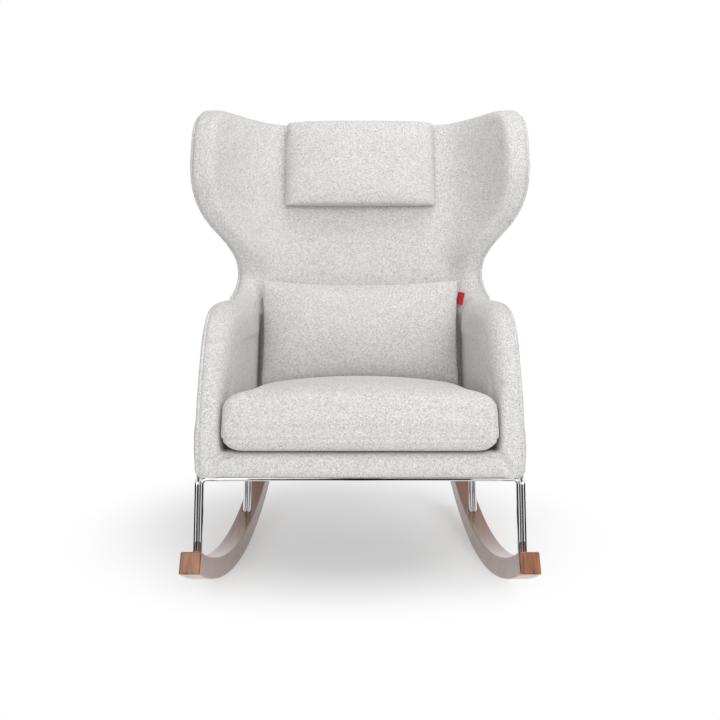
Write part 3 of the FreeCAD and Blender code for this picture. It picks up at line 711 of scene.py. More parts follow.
@dataclass(frozen=True)
class HeatheredTweed:
    """Polyester tweed, woven from thick heathered yarn.

    Pale and dark fibres twisted in one yarn give the eye a light grey ground with fine flecks
    and a matt, slightly fuzzy surface. The yarn's fibres are finer than a pixel, so flecks, yarn and
    fibres are drawn as coarse as they need to show in the render.
    """

    name: str = "polyester_tweed_heathered_woven"
    ground: str = "#CECCCB"
    pale: str = "#DFDEDD"
    dark: str = "#B3AFAE"
    fleck_mm: float = 1.6
    yarn_mm: float = 1.9
    fibre_mm: float = 1.6
    stray_every_mm: float = 5.0
    stray_mm: float = 4.0
    cloud_mm: float = 60.0
    cloud_share: float = 0.02
    fibre_share: float = 0.05
    roughness: float = 0.93
    sheen: float = 0.10
    bump: float = 0.35
    nap_mm: float = 0.8

    def material(self) -> bpy.types.Material:
        """The finish as a node material."""
        material = new_material(self.name)
        tree = material.node_tree
        spots = add_node(tree, "ShaderNodeTexCoord").outputs["Object"]
        stray = add_node(tree, "ShaderNodeTexNoise", inputs={
            "Vector": spots, "Scale": per_metre(self.stray_every_mm), "Detail": 1.0})
        drift = add_node(tree, "ShaderNodeVectorMath", {"operation": "MULTIPLY_ADD"}, {
            0: stray.outputs["Color"], 1: (self.stray_mm * MM,) * 3, 2: spots})
        fleck = add_node(tree, "ShaderNodeTexVoronoi", inputs={
            "Vector": drift.outputs["Vector"], "Scale": per_metre(self.fleck_mm)})
        chance = add_node(tree, "ShaderNodeSeparateColor", inputs={0: fleck.outputs["Color"]})
        tones = add_node(tree, "ShaderNodeValToRGB", {"stops": (
            (0.00, linear(self.dark)), (0.16, linear(self.dark)), (0.34, linear(self.ground)),
            (0.62, linear(self.ground)), (0.84, linear(self.pale)), (1.00, linear(self.pale)))},
            {0: chance.outputs[0]})
        cloud = add_node(tree, "ShaderNodeTexNoise", inputs={
            "Vector": spots, "Scale": per_metre(self.cloud_mm), "Detail": 3.0})
        cloudy = add_node(tree, "ShaderNodeMapRange", inputs={
            "Value": cloud.outputs[0], "From Min": 0.3, "From Max": 0.7,
            "To Min": 1.0 - self.cloud_share, "To Max": 1.0 + self.cloud_share})
        fibre = add_node(tree, "ShaderNodeTexNoise", inputs={
            "Vector": spots, "Scale": per_metre(self.fibre_mm), "Detail": 2.0})
        fuzzy = add_node(tree, "ShaderNodeMapRange", inputs={
            "Value": fibre.outputs[0], "From Min": 0.3, "From Max": 0.7,
            "To Min": 1.0 - self.fibre_share, "To Max": 1.0 + self.fibre_share})
        shade = add_node(tree, "ShaderNodeMath", {"operation": "MULTIPLY"}, {
            0: cloudy.outputs[0], 1: fuzzy.outputs[0]})
        colour = add_node(tree, "ShaderNodeVectorMath", {"operation": "SCALE"}, {
            0: tones.outputs[0], "Scale": shade.outputs[0]})
        yarn = add_node(tree, "ShaderNodeTexVoronoi", {"feature": "SMOOTH_F1"}, {
            "Vector": drift.outputs["Vector"], "Scale": per_metre(self.yarn_mm)})
        height = add_node(tree, "ShaderNodeMath", {"operation": "MULTIPLY_ADD"}, {
            0: yarn.outputs["Distance"], 1: -1.0, 2: fibre.outputs[0]})
        nap = add_node(tree, "ShaderNodeBump", inputs={
            "Strength": self.bump, "Distance": self.nap_mm * MM, "Height": height.outputs[0]})
        cloth = add_node(tree, "ShaderNodeBsdfPrincipled", inputs={
            "Base Color": colour.outputs[0], "Roughness": self.roughness, "Specular IOR Level": 0.2,
            "Sheen Weight": self.sheen, "Sheen Roughness": 0.5, "Normal": nap.outputs[0]})
        return close_material(material, cloth)


@dataclass(frozen=True)
class LacqueredWalnut:
    """Walnut, bent to a bow, sanded and lacquered.

    Long straight grain follows the bow, fine pores run with it, and the satin lacquer whitens
    the faces that are seen at a low angle.
    """

    name: str = "walnut_bent_lacquered"
    pale: str = "#99663F"
    ground: str = "#815033"
    dark: str = "#55321E"
    bow_radius_mm: float = 952.0
    bow_low_mm: float = -1.0
    streak_mm: float = 2.6
    streak_deep_mm: float = 40.0
    streak_share: float = 0.6
    band_mm: float = 16.0
    band_deep_mm: float = 60.0
    run_mm: float = 260.0
    pore_mm: float = 0.2
    roughness: float = 0.36

    def material(self) -> bpy.types.Material:
        """The finish as a node material whose grain follows the bow."""
        material = new_material(self.name)
        tree = material.node_tree
        spots = add_node(tree, "ShaderNodeTexCoord").outputs["Object"]
        parts = add_node(tree, "ShaderNodeSeparateXYZ", inputs={0: spots})
        along = add_node(tree, "ShaderNodeMath", {"operation": "SUBTRACT"}, {
            0: parts.outputs[1], 1: self.bow_low_mm * MM})
        below = add_node(tree, "ShaderNodeMath", {"operation": "SUBTRACT"}, {
            0: self.bow_radius_mm * MM, 1: parts.outputs[2]})
        angle = add_node(tree, "ShaderNodeMath", {"operation": "ARCTAN2"}, {
            0: along.outputs[0], 1: below.outputs[0]})
        run = add_node(tree, "ShaderNodeMath", {"operation": "MULTIPLY"}, {
            0: angle.outputs[0], 1: self.bow_radius_mm / self.run_mm})
        reach = add_node(tree, "ShaderNodeVectorMath", {"operation": "LENGTH"}, {
            0: add_node(tree, "ShaderNodeCombineXYZ", inputs={
                1: along.outputs[0], 2: below.outputs[0]}).outputs[0]})
        board = add_node(tree, "ShaderNodeCombineXYZ", inputs={
            0: run.outputs[0], 1: parts.outputs[0], 2: reach.outputs["Value"]})
        streaks = add_node(tree, "ShaderNodeVectorMath", {"operation": "MULTIPLY"}, {
            0: board.outputs[0], 1: (1.0, per_metre(self.streak_mm), per_metre(self.streak_deep_mm))})
        bands = add_node(tree, "ShaderNodeVectorMath", {"operation": "MULTIPLY"}, {
            0: board.outputs[0], 1: (1.0, per_metre(self.band_mm), per_metre(self.band_deep_mm))})
        fine = add_node(tree, "ShaderNodeTexNoise", inputs={
            "Vector": streaks.outputs[0], "Scale": 1.0, "Detail": 5.0, "Roughness": 0.6})
        wide = add_node(tree, "ShaderNodeTexNoise", inputs={
            "Vector": bands.outputs[0], "Scale": 1.0, "Detail": 3.0, "Distortion": 0.6})
        mixed = add_node(tree, "ShaderNodeMath", {"operation": "MULTIPLY_ADD"}, {
            0: fine.outputs[0], 1: self.streak_share, 2: wide.outputs[0]})
        figure = add_node(tree, "ShaderNodeValToRGB", {"stops": (
            (0.56, linear(self.dark)), (0.72, linear(self.ground)), (0.84, linear(self.ground)),
            (1.00, linear(self.pale)))}, {0: mixed.outputs[0]})
        pores = add_node(tree, "ShaderNodeBump", inputs={
            "Strength": 0.12, "Distance": self.pore_mm * MM, "Height": fine.outputs[0]})
        gloss = add_node(tree, "ShaderNodeMapRange", inputs={
            "Value": wide.outputs[0], "To Min": self.roughness - 0.05, "To Max": self.roughness + 0.08})
        wood = add_node(tree, "ShaderNodeBsdfPrincipled", inputs={
            "Base Color": figure.outputs[0], "Roughness": gloss.outputs[0], "Specular IOR Level": 0.08,
            "Coat Weight": 0.9, "Coat Roughness": 0.2, "Coat IOR": 1.42, "Sheen Weight": 0.45,
            "Sheen Roughness": 0.35, "Normal": pores.outputs[0]})
        return close_material(material, wood)


@dataclass(frozen=True)
class PlatedSteel:
    """Steel with an electroplated skin.

    Chrome is a mirror with faint polishing marks; zinc is duller and slightly mottled.
    """

    name: str
    colour: str
    roughness: float
    spread: float
    mottle_mm: float
    mark_mm: float = 0.02

    def material(self) -> bpy.types.Material:
        """The finish as a node material."""
        material = new_material(self.name)
        tree = material.node_tree
        spots = add_node(tree, "ShaderNodeTexCoord").outputs["Object"]
        mottle = add_node(tree, "ShaderNodeTexNoise", inputs={
            "Vector": spots, "Scale": per_metre(self.mottle_mm), "Detail": 3.0})
        gloss = add_node(tree, "ShaderNodeMapRange", inputs={
            "Value": mottle.outputs[0], "From Min": 0.3, "From Max": 0.7,
            "To Min": self.roughness, "To Max": self.roughness + self.spread})
        tone = add_node(tree, "ShaderNodeMapRange", inputs={
            "Value": mottle.outputs[0], "To Min": 1.0 - self.spread, "To Max": 1.0})
        colour = add_node(tree, "ShaderNodeVectorMath", {"operation": "SCALE"}, {
            0: linear(self.colour)[:3], "Scale": tone.outputs[0]})
        marks = add_node(tree, "ShaderNodeBump", inputs={
            "Strength": self.spread, "Distance": self.mark_mm * MM, "Height": mottle.outputs[0]})
        metal = add_node(tree, "ShaderNodeBsdfPrincipled", inputs={
            "Base Color": colour.outputs[0], "Metallic": 1.0, "Roughness": gloss.outputs[0],
            "Normal": marks.outputs[0]})
        return close_material(material, metal)


@dataclass(frozen=True)
class BirchPlywood:
    """Birch plywood, sawn and sanded: pale straight grain with darker glue lines in its edges."""

    name: str = "birch_plywood_sanded"
    pale: str = "#E3CDA8"
    ground: str = "#D2B588"
    glue: str = "#9C7B52"
    ply_mm: float = 1.5
    grain_mm: float = 6.0
    grain_run_mm: float = 90.0
    relief_mm: float = 0.2

    def material(self) -> bpy.types.Material:
        """The finish as a node material."""
        material = new_material(self.name)
        tree = material.node_tree
        spots = add_node(tree, "ShaderNodeTexCoord").outputs["Object"]
        sheets = add_node(tree, "ShaderNodeTexWave", {"bands_direction": "Z"}, {
            "Vector": spots, "Scale": waves_per_metre(self.ply_mm * COARSER),
            "Distortion": 1.5, "Detail": 2.0})
        stretched = add_node(tree, "ShaderNodeVectorMath", {"operation": "MULTIPLY"}, {
            0: spots,
            1: (per_metre(self.grain_mm), per_metre(self.grain_run_mm), per_metre(self.grain_mm))})
        grain = add_node(tree, "ShaderNodeTexNoise", inputs={
            "Vector": stretched.outputs[0], "Scale": 1.0, "Detail": 4.0})
        face = add_node(tree, "ShaderNodeValToRGB", {"stops": (
            (0.35, linear(self.ground)), (0.65, linear(self.pale)))}, {0: grain.outputs[0]})
        edge = add_node(tree, "ShaderNodeMapRange", inputs={
            "Value": sheets.outputs["Fac"], "From Min": 0.82, "From Max": 1.0, "To Max": 0.5})
        colour = add_node(tree, "ShaderNodeMix", {"data_type": "RGBA"}, {
            0: edge.outputs[0], 6: face.outputs[0], 7: linear(self.glue)})
        relief = add_node(tree, "ShaderNodeBump", inputs={
            "Strength": 0.2, "Distance": self.relief_mm * MM, "Height": grain.outputs[0]})
        wood = add_node(tree, "ShaderNodeBsdfPrincipled", inputs={
            "Base Color": colour.outputs[2], "Roughness": 0.62, "Normal": relief.outputs[0]})
        return close_material(material, wood)


@dataclass(frozen=True)
class RibbedCloth:
    """Plain or ribbed technical cloth: crossing threads at a thread spacing give it fine ribs."""

    name: str
    thread: str
    gap: str
    thread_mm: float
    roughness: float
    wear_mm: float = 18.0
    wear_share: float = 0.5
    rib_mm: float = 0.3

    def material(self) -> bpy.types.Material:
        """The finish as a node material."""
        material = new_material(self.name)
        tree = material.node_tree
        spots = add_node(tree, "ShaderNodeTexCoord").outputs["Object"]
        waves = [add_node(tree, "ShaderNodeTexWave", {"bands_direction": axis, "wave_profile": "SIN"}, {
            "Vector": spots, "Scale": waves_per_metre(self.thread_mm * COARSER),
            "Distortion": 0.4}) for axis in "XYZ"]
        first = add_node(tree, "ShaderNodeMath", {"operation": "MAXIMUM"}, {
            0: waves[0].outputs["Fac"], 1: waves[1].outputs["Fac"]})
        weave = add_node(tree, "ShaderNodeMath", {"operation": "MULTIPLY"}, {
            0: first.outputs[0], 1: waves[2].outputs["Fac"]})
        wear = add_node(tree, "ShaderNodeTexNoise", inputs={
            "Vector": spots, "Scale": per_metre(self.wear_mm), "Detail": 4.0})
        amount = add_node(tree, "ShaderNodeMath", {"operation": "MULTIPLY_ADD"}, {
            0: wear.outputs[0], 1: self.wear_share, 2: weave.outputs[0]})
        colour = add_node(tree, "ShaderNodeValToRGB", {"stops": (
            (0.15, linear(self.gap)), (0.75, linear(self.thread)))}, {0: amount.outputs[0]})
        ribs = add_node(tree, "ShaderNodeBump", inputs={
            "Strength": 0.4, "Distance": self.rib_mm * MM, "Height": weave.outputs[0]})
        cloth = add_node(tree, "ShaderNodeBsdfPrincipled", inputs={
            "Base Color": colour.outputs[0], "Roughness": self.roughness, "Specular IOR Level": 0.25,
            "Normal": ribs.outputs[0]})
        return close_material(material, cloth)


@dataclass
class Finishes:
    """All finishes of the chair, each made once."""

    tweed: bpy.types.Material = field(default_factory=lambda: HeatheredTweed().material())
    walnut: bpy.types.Material = field(default_factory=lambda: LacqueredWalnut().material())
    chrome: bpy.types.Material = field(default_factory=lambda: PlatedSteel(
        "steel_rod_chrome_plated", "#E2E4E6", 0.03, 0.05, 30.0).material())
    zinc: bpy.types.Material = field(default_factory=lambda: PlatedSteel(
        "steel_zinc_plated", "#B9BDC2", 0.30, 0.14, 6.0).material())
    ply: bpy.types.Material = field(default_factory=lambda: BirchPlywood().material())
    webbing: bpy.types.Material = field(default_factory=lambda: RibbedCloth(
        "polypropylene_webbing_woven", "#3A3A3D", "#17171A", 2.4, 0.6).material())
    lining: bpy.types.Material = field(default_factory=lambda: RibbedCloth(
        "polypropylene_lining_spunbond", "#4A4A4C", "#2A2A2C", 1.6, 0.85).material())
    deck: bpy.types.Material = field(default_factory=lambda: RibbedCloth(
        "cotton_deck_cloth_plain_woven", "#C9C6C3", "#A09C99", 1.8, 0.92).material())
    tab: bpy.types.Material = field(default_factory=lambda: RibbedCloth(
        "polyester_tab_satin_woven", "#B21C21", "#7E1014", 1.2, 0.55).material())


@dataclass
class TightCover:
    """Tweed cover of the arms, back, wings and front rail, stretched over foam as one skin.

    A run is a start, an end and a number of places between them.
    """

    tweed: bpy.types.Material
    voxel_mm: float = 4.0
    easing: int = 7
    columns: int = 181
    rows: int = 150
    fill: float = 0.9

    # Back and wings: rolled edges, fullness and the width of the outside back
    rim_roll: float = 24.0
    rim_lead: float = 10.0
    top_roll: float = 28.0
    rear_roll: float = 13.0
    rear_ease: float = 16.0
    scoop_most: float = 1.6
    scoop_ease: float = 26.0
    side_full: float = 9.0
    side_least: float = 4.0
    panel_half: float = 308.0
    panel_waist: float = 292.0
    panel_flare: float = 0.15

    # Arms: rolled edges, tighter below a level, and rings as inset and fullness
    arm_outer_roll: float = 15.0
    arm_low_share: float = 1.5
    arm_inner_roll: float = 30.0
    arm_inner_drop: float = 44.0
    arm_inner_low_share: float = 0.25
    arm_tight_share: float = 0.45
    arm_tight_below: float = 500.0
    arm_tight_over: float = 70.0
    arm_fullness: float = 13.0
    arm_roll_step_deg: int = 9
    arm_outer_rings: tuple[tuple[float, float], ...] = ((80.0, 2.6), (45.0, 1.8))
    arm_inner_rings: tuple[float, ...] = (50.0, 58.0, 66.0, 74.0, 82.0)
    arm_ring_low_share: float = 0.6
    arm_edge_step: float = 7.0
    arm_rear_places: int = 50
    arm_low_places: int = 80

    # Front band, and the lip that hangs over the front bar
    band_front: float = -373.0
    band_rear: float = -320.0
    band_shelf: float = -343.0
    band_half: float = 334.0
    band_roll: float = 18.0
    band_roll_step_deg: int = 10
    band_low_roll: float = 15.0
    band_low_step_deg: int = 15
    band_step: float = 3.5
    band_places: int = 60
    lip_drop: float = 6.0
    lip_rear: float = -348.0
    lip_front: float = -356.0
    lip_top: float = 314.0

    # Seams: depth and half width of each groove, and where each runs
    mitre_groove: tuple[float, float] = (5.0, 6.0)
    mitre: tuple[tuple[float, float], ...] = ((280.0, 358.0), (296.0, 343.0), (307.0, 331.0), (313.0, 318.0))
    panel_groove: tuple[float, float] = (3.0, 4.0)
    panel_low_run: tuple[float, float, int] = (306.0, 760.0, 9)
    panel_low_half: float = 270.0
    panel_high_run: tuple[float, float, int] = (800.0, 1075.0, 8)
    panel_high_in: float = 22.0
    panel_top: tuple[tuple[float, float], ...] = ((276.0, 1095.0), (240.0, 1102.0), (0.0, 1103.0))
    seam_step: float = 2.0

    # Welt: from a foot under the front corner along arm, wing, top corner and rear edge
    welt_radius: float = 4.2
    welt_groove: tuple[float, float] = (3.0, 5.5)
    welt_lift: float = 0.8
    welt_step: float = 5.0
    welt_foot: tuple[tuple[float, float, float], ...] = ((335.0, -357.0, 291.0), (343.0, -363.0, 293.0))
    welt_arm_step: float = 10.0
    welt_arm_low: float = 304.0
    welt_arm_end: float = -60.0
    welt_in: float = 3.0
    welt_waist_run: tuple[float, float, int] = (690.0, 780.0, 10)
    welt_wing_run: tuple[float, float, int] = (800.0, 1110.0, 26)
    welt_wing_in: float = 1.5
    welt_wing_back: float = 20.0
    welt_top_shares: tuple[float, ...] = (0.998, 0.99, 0.975, 0.955, 0.93, 0.90, 0.86, 0.82)
    welt_fall_run: tuple[float, float, int] = (1110.0, 800.0, 16)
    welt_rear_run: tuple[float, float, int] = (760.0, 304.0, 18)

    # Outlines: half width, wing front, rim width and start of the flare at a height, top at a share of the
    # half width, and the inside arm's fullness along its depth and height
    half_width: Profile = Profile((
        (298.0, 276.0), (640.0, 280.0), (664.0, 312.0), (676.0, 319.0), (682.0, 317.0), (690.0, 314.5),
        (704.0, 311.0), (720.0, 307.6), (738.0, 306.0), (763.0, 307.5), (778.0, 311.0), (792.0, 318.0),
        (807.0, 327.0), (821.0, 338.5), (836.0, 351.0), (850.0, 364.0), (864.0, 374.5), (878.0, 384.0),
        (906.0, 397.0), (934.0, 405.0), (962.0, 408.5), (998.0, 410.0), (1034.0, 408.5), (1064.0, 407.0),
        (1085.0, 405.6), (1100.0, 403.5), (1111.0, 400.5), (1122.0, 397.0), (1140.0, 393.0)))
    nose: Profile = Profile((
        (298.0, 47.0), (560.0, 85.0), (600.0, 72.0), (630.0, 42.0), (655.0, 8.0), (676.0, -14.0),
        (682.0, 14.0), (690.0, 42.0), (700.0, 63.0), (715.0, 79.0), (735.0, 85.0), (760.0, 79.0),
        (790.0, 62.0), (840.0, 32.0), (900.0, 0.0), (980.0, -22.0), (1060.0, -12.0), (1110.0, 12.0),
        (1140.0, 40.0)))
    rim: Profile = Profile((
        (298.0, 12.0), (640.0, 12.0), (676.0, 28.0), (690.0, 33.0), (720.0, 44.0), (770.0, 54.0),
        (1140.0, 56.0)))
    flare_start: Profile = Profile((
        (298.0, 192.0), (676.0, 194.0), (705.0, 202.0), (735.0, 204.0), (760.0, 202.0), (820.0, 191.0),
        (1140.0, 188.0)))
    top_edge: Profile = Profile((
        (0.0, 1120.5), (0.42, 1121.0), (0.52, 1122.5), (0.62, 1126.5), (0.72, 1132.0), (0.82, 1137.5),
        (0.90, 1139.5), (0.95, 1139.3), (0.975, 1137.5), (0.99, 1131.5), (1.0, 1117.0)))
    arm_along: Profile = Profile((
        (-345.0, 0.0), (-300.0, 0.25), (-220.0, 0.72), (-120.0, 1.0), (-20.0, 0.95), (90.0, 0.6),
        (220.0, 0.2)))
    arm_up: Profile = Profile((
        (450.0, 0.0), (480.0, 0.35), (530.0, 0.85), (580.0, 1.0), (630.0, 0.95), (676.0, 0.8)))
    arm_edge: tuple[tuple[float, float], ...] = (
        (-370.0, 298.0), (-369.0, 340.0), (-364.5, 380.0), (-357.0, 420.0), (-346.0, 460.0), (-333.0, 500.0),
        (-317.0, 542.0), (-298.0, 585.0), (-279.0, 615.0), (-256.0, 638.0), (-226.0, 653.0), (-190.0, 661.5),
        (-140.0, 667.5), (-70.0, 672.0), (20.0, 675.0), (120.0, 676.0), (224.2, 676.0))

    def rear_half(self, height: Values) -> np.ndarray:
        """Half width of the outside back at a height."""
        flared = self.panel_waist + self.panel_flare * (self.half_width(height) - self.panel_half)
        return np.minimum(flared, self.panel_half)

    def rim_depth(self, height: Values) -> np.ndarray:
        """Depth at which the front and the rear skin meet in the rim."""
        return self.nose(height) + self.rim_lead + self.rim_roll

    def side_span(self, height: Values) -> np.ndarray:
        """Width of the slanting side between the rim and the outside back."""
        return np.maximum(self.half_width(height) - self.rear_half(height), self.side_least)

    def front_depth(self, across: np.ndarray, height: np.ndarray) -> np.ndarray:
        """Depth of the inside back and wings before their edges roll.

        Args:
            across: Distance from the middle plane.
            height: Height of each place.

        Returns:
            The depth of each place.
        """
        face = back_face(height)
        nose = self.nose(height)
        half = self.half_width(height)
        rim = self.rim(height)
        start = self.flare_start(height)
        share = np.clip((across - start) / (half - rim - start), 0.0, self.scoop_most)
        scoop = face - (face - nose) * share**2
        front = nose + self.rim_lead * (across - half + rim) / rim
        return soft_most(scoop, front, self.scoop_ease)

    def back_and_wings(self) -> Form:
        """Closed form of the back and both wings, as two skins that meet at the rim."""
        shares = crowded(self.columns)
        climbs = np.sin(np.linspace(0.0, 1.0, self.rows) * math.pi / 2.0)
        tops = self.top_edge(np.abs(shares))
        heights = BODY_BOTTOM + climbs[:, None] * (tops - BODY_BOTTOM)[None, :]
        half = self.half_width(heights)
        signed = shares[None, :] * half
        across = np.abs(signed)
        from_side = half - across
        from_top = np.broadcast_to(tops, heights.shape) - heights
        front = self.front_depth(across, heights)
        front = front + rolled(from_side, self.rim_roll) + rolled(from_top, self.top_roll)
        meet = self.rim_depth(heights)
        plane = outer_back(heights)
        span = self.side_span(heights)
        bulge = self.side_full * np.sin(math.pi * np.clip(from_side / span, 0.0, 1.0))
        side = meet + (plane - meet) * from_side / span + bulge
        rear = soft_least(plane, side, self.rear_ease) - rolled(from_top, self.rear_roll)
        rear = np.where(half < self.rear_half(heights), plane, rear)
        middle = (front + rear) / 2.0
        crossed = front > rear
        front = np.where(crossed, middle, front)
        rear = np.where(crossed, middle, rear)
        skins = [np.stack((signed, depth, heights), axis=-1).reshape(-1, 3) for depth in (front, rear)]
        return np.concatenate(skins), paired_faces(self.rows, self.columns)

    def arm_outline(self) -> np.ndarray:
        """Side outline of an arm as depth and height, from the front foot round to the start."""
        upper = path_through(self.arm_edge, self.arm_edge_step)
        levels = np.linspace(ARM_TOP, BODY_BOTTOM, self.arm_rear_places)[1:]
        rear = np.column_stack((outer_back(levels), levels))
        depths = np.linspace(OUTER_DEPTH, self.arm_edge[0][0], self.arm_low_places)[1:-1]
        lower = np.column_stack((depths, np.full(len(depths), BODY_BOTTOM)))
        return np.concatenate((upper, rear, lower))

    def inset_outline(self, line: np.ndarray, inset: float, low_share: float) -> np.ndarray:
        """Draw an outline in by a distance.

        Args:
            line: Closed outline as depth and height.
            inset: Distance for all edges but the lower ones.
            low_share: Share of that distance for the lower edges.

        Returns:
            The outline drawn in, with as many points.
        """
        edges = np.roll(line, -1, axis=0) - line
        lengths = np.linalg.norm(edges, axis=1, keepdims=True)
        normals = np.column_stack((edges[:, 1], -edges[:, 0])) / lengths
        low = (np.abs(edges[:, 1]) < LEVEL_EDGE) & (line[:, 1] < BODY_BOTTOM + 1.0)
        ways = np.where(low, inset * low_share, inset)
        moved = np.empty_like(line)
        for at in range(len(line)):
            pair = np.array((normals[at - 1], normals[at]))
            if abs(np.linalg.det(pair)) < STRAIGHT_CORNER:
                moved[at] = line[at] + normals[at] * ways[at]
            else:
                moved[at] = line[at] + np.linalg.solve(pair, np.array((ways[at - 1], ways[at])))
        return moved

    def arm(self) -> Form:
        """Closed form of the right arm: a slab with rolled edges and gently full sides."""
        line = self.arm_outline()
        outer, inner = TOE_ACROSS, TOE_ACROSS - ARM_THICK
        turns = [math.radians(step) for step in range(0, 91, self.arm_roll_step_deg)]
        rings = [(inset, outer + full, 1.0) for inset, full in self.arm_outer_rings]
        for turn in turns:
            fall = self.arm_outer_roll * (1.0 - math.cos(turn))
            rings.append((self.arm_outer_roll * (1.0 - math.sin(turn)), outer - fall, self.arm_low_share))
        rows = [upright(across, self.inset_outline(line, inset, share)) for inset, across, share in rings]
        low = eased(line[:, 1:], self.arm_tight_below, self.arm_tight_below - self.arm_tight_over)
        for turn in reversed(turns):
            rests = []
            for share in (1.0, self.arm_tight_share):
                inset = share * self.arm_inner_drop * (1.0 - math.sin(turn))
                fall = share * self.arm_inner_roll * (1.0 - math.cos(turn))
                rests.append(upright(inner + fall, self.inset_outline(line, inset, self.arm_inner_low_share)))
            rows.append(rests[0] * (1.0 - low) + rests[1] * low)
        for inset in self.arm_inner_rings:
            rows.append(upright(inner, self.inset_outline(line, inset, self.arm_ring_low_share)))
        return toed(self.filled_arm(np.concatenate(rows))), capped_faces(len(rows), len(line))

    def filled_arm(self, points: np.ndarray) -> np.ndarray:
        """Swell the inside of the square right arm above the seat cushion.

        Args:
            points: Rows of the arm, drawn square.

        Returns:
            The rows with the inside arm's padding.
        """
        inner = TOE_ACROSS - ARM_THICK
        inside = np.clip(1.0 - (points[:, 0] - inner) / self.arm_inner_roll, 0.0, 1.0)
        swell = self.arm_fullness * inside * self.arm_along(points[:, 1]) * self.arm_up(points[:, 2])
        return points - np.column_stack((swell, np.zeros((len(points), 2))))

    def front_band(self) -> Form:
        """Closed form of the front rail's pad, which runs into both arms."""
        profile = [(self.band_rear, BODY_BOTTOM), (self.band_rear, DECK_TOP), (self.band_shelf, DECK_TOP)]
        for step in range(0, 91, self.band_roll_step_deg):
            turn = math.radians(step)
            profile.append((self.band_front + self.band_roll * (1.0 - math.sin(turn)),
                            DECK_TOP - self.band_step - self.band_roll * (1.0 - math.cos(turn))))
        for step in range(90, -1, -self.band_low_step_deg):
            turn = math.radians(step)
            profile.append((self.band_front + self.band_low_roll * (1.0 - math.sin(turn)),
                            BODY_BOTTOM + self.band_low_roll * (1.0 - math.cos(turn))))
        section = np.array(profile)
        places = np.linspace(-self.band_half, self.band_half, self.band_places)
        rows = [upright(spot, section) for spot in places]
        return np.concatenate(rows), capped_faces(len(rows), len(section))

    def draw_lip(self, cover: bpy.types.Object) -> None:
        """Pull the front lower edge down over the gap above the front bar."""
        points = level_points(cover)
        low = np.clip((self.lip_top - points[:, 2]) / (self.lip_top - BODY_BOTTOM), 0.0, 1.0)
        points[:, 2] -= self.lip_drop * low * eased(points[:, 1], self.lip_rear, self.lip_front)
        put_points(cover, points)

    def mitre_seams(self, cover: bpy.types.Object) -> list[np.ndarray]:
        """Seams of both front corners, where arm and front rail meet."""
        corners = [(across, self.band_front, level) for across, level in self.mitre]
        mitre = path_through(corners, self.seam_step)
        return [on_skin(cover, line, 0.0) for line in (mitre, mirrored(mitre))]

    def panel_seams(self, cover: bpy.types.Object) -> list[np.ndarray]:
        """Seam along the edge of the outside back, as its right and left half."""
        edge = [(self.panel_low_half, level) for level in np.linspace(*self.panel_low_run)]
        edge += [(self.rear_half(level) - self.panel_high_in, level)
                 for level in np.linspace(*self.panel_high_run)]
        edge += self.panel_top
        panel = path_through([(across, outer_back(level), level) for across, level in edge], self.seam_step)
        return [on_skin(cover, line, 0.0) for line in (panel, mirrored(panel))]

    def welt_line(self) -> np.ndarray:
        """Line of the right hand welt: up the arm, along its top, round the wing and down the rear."""
        front = path_through(self.arm_edge, self.welt_arm_step)
        front = front[(front[:, 0] < self.welt_arm_end) & (front[:, 1] > self.welt_arm_low)]
        arm = toed(upright(TOE_ACROSS - self.welt_in, front))
        foot = toed(np.array(self.welt_foot))
        levels = np.concatenate((np.linspace(*self.welt_waist_run), np.linspace(*self.welt_wing_run)))
        wing = np.column_stack((
            self.half_width(levels) - self.welt_wing_in, self.nose(levels) + self.welt_wing_back, levels))
        shares = np.array(self.welt_top_shares)
        tops = self.top_edge(shares)
        half = self.half_width(tops)
        meet = self.rim_depth(tops)
        rests = (1.0 - shares) * half / self.side_span(tops)
        over = np.column_stack((
            shares * half, meet + (outer_back(tops) - meet) * rests, tops - self.welt_in))
        falls = np.concatenate((np.linspace(*self.welt_fall_run), np.linspace(*self.welt_rear_run)))
        rear = np.column_stack((
            self.rear_half(falls) + self.welt_wing_in, outer_back(falls) - self.welt_in, falls))
        return path_through(np.concatenate((foot, arm, wing, over, rear)), self.welt_step)

    def build(self) -> bpy.types.Object:
        """Make the cover and its welts, finish them and set them on the chair."""
        arm_points, arm_faces = self.arm()
        arms = [(arm_points, arm_faces), (mirrored(arm_points), arm_faces)]
        points, faces = [], []
        for form_points, form_faces in [self.back_and_wings(), *arms, self.front_band()]:
            start = sum(len(rows) for rows in points)
            points.append(form_points)
            faces += [tuple(corner + start for corner in face) for face in form_faces]
        cover = mesh_object("tight_cover", np.concatenate(points), faces)
        remeshed(cover, self.voxel_mm, self.easing)
        self.draw_lip(cover)
        sewn(cover, self.panel_seams(cover), *self.panel_groove)
        sewn(cover, self.mitre_seams(cover), *self.mitre_groove)
        line = on_skin(cover, self.welt_line(), 0.0)
        sewn(cover, (line, mirrored(line)), *self.welt_groove)
        line = on_skin(cover, line, self.welt_lift)
        for name, rows in (("welt_right", line), ("welt_left", mirrored(line))):
            place(tube(name, rows, self.welt_radius), Body.CHAIR, Slot.TWEED, self.tweed)
        pads = ("arm_pad_left", "arm_pad_right", "wing_pad_left", "wing_pad_right", "back_pad",
                "front_rail_pad", "outside_back_panel")
        place(cover, Body.CHAIR, Slot.TWEED, self.tweed, pads)
        return cover


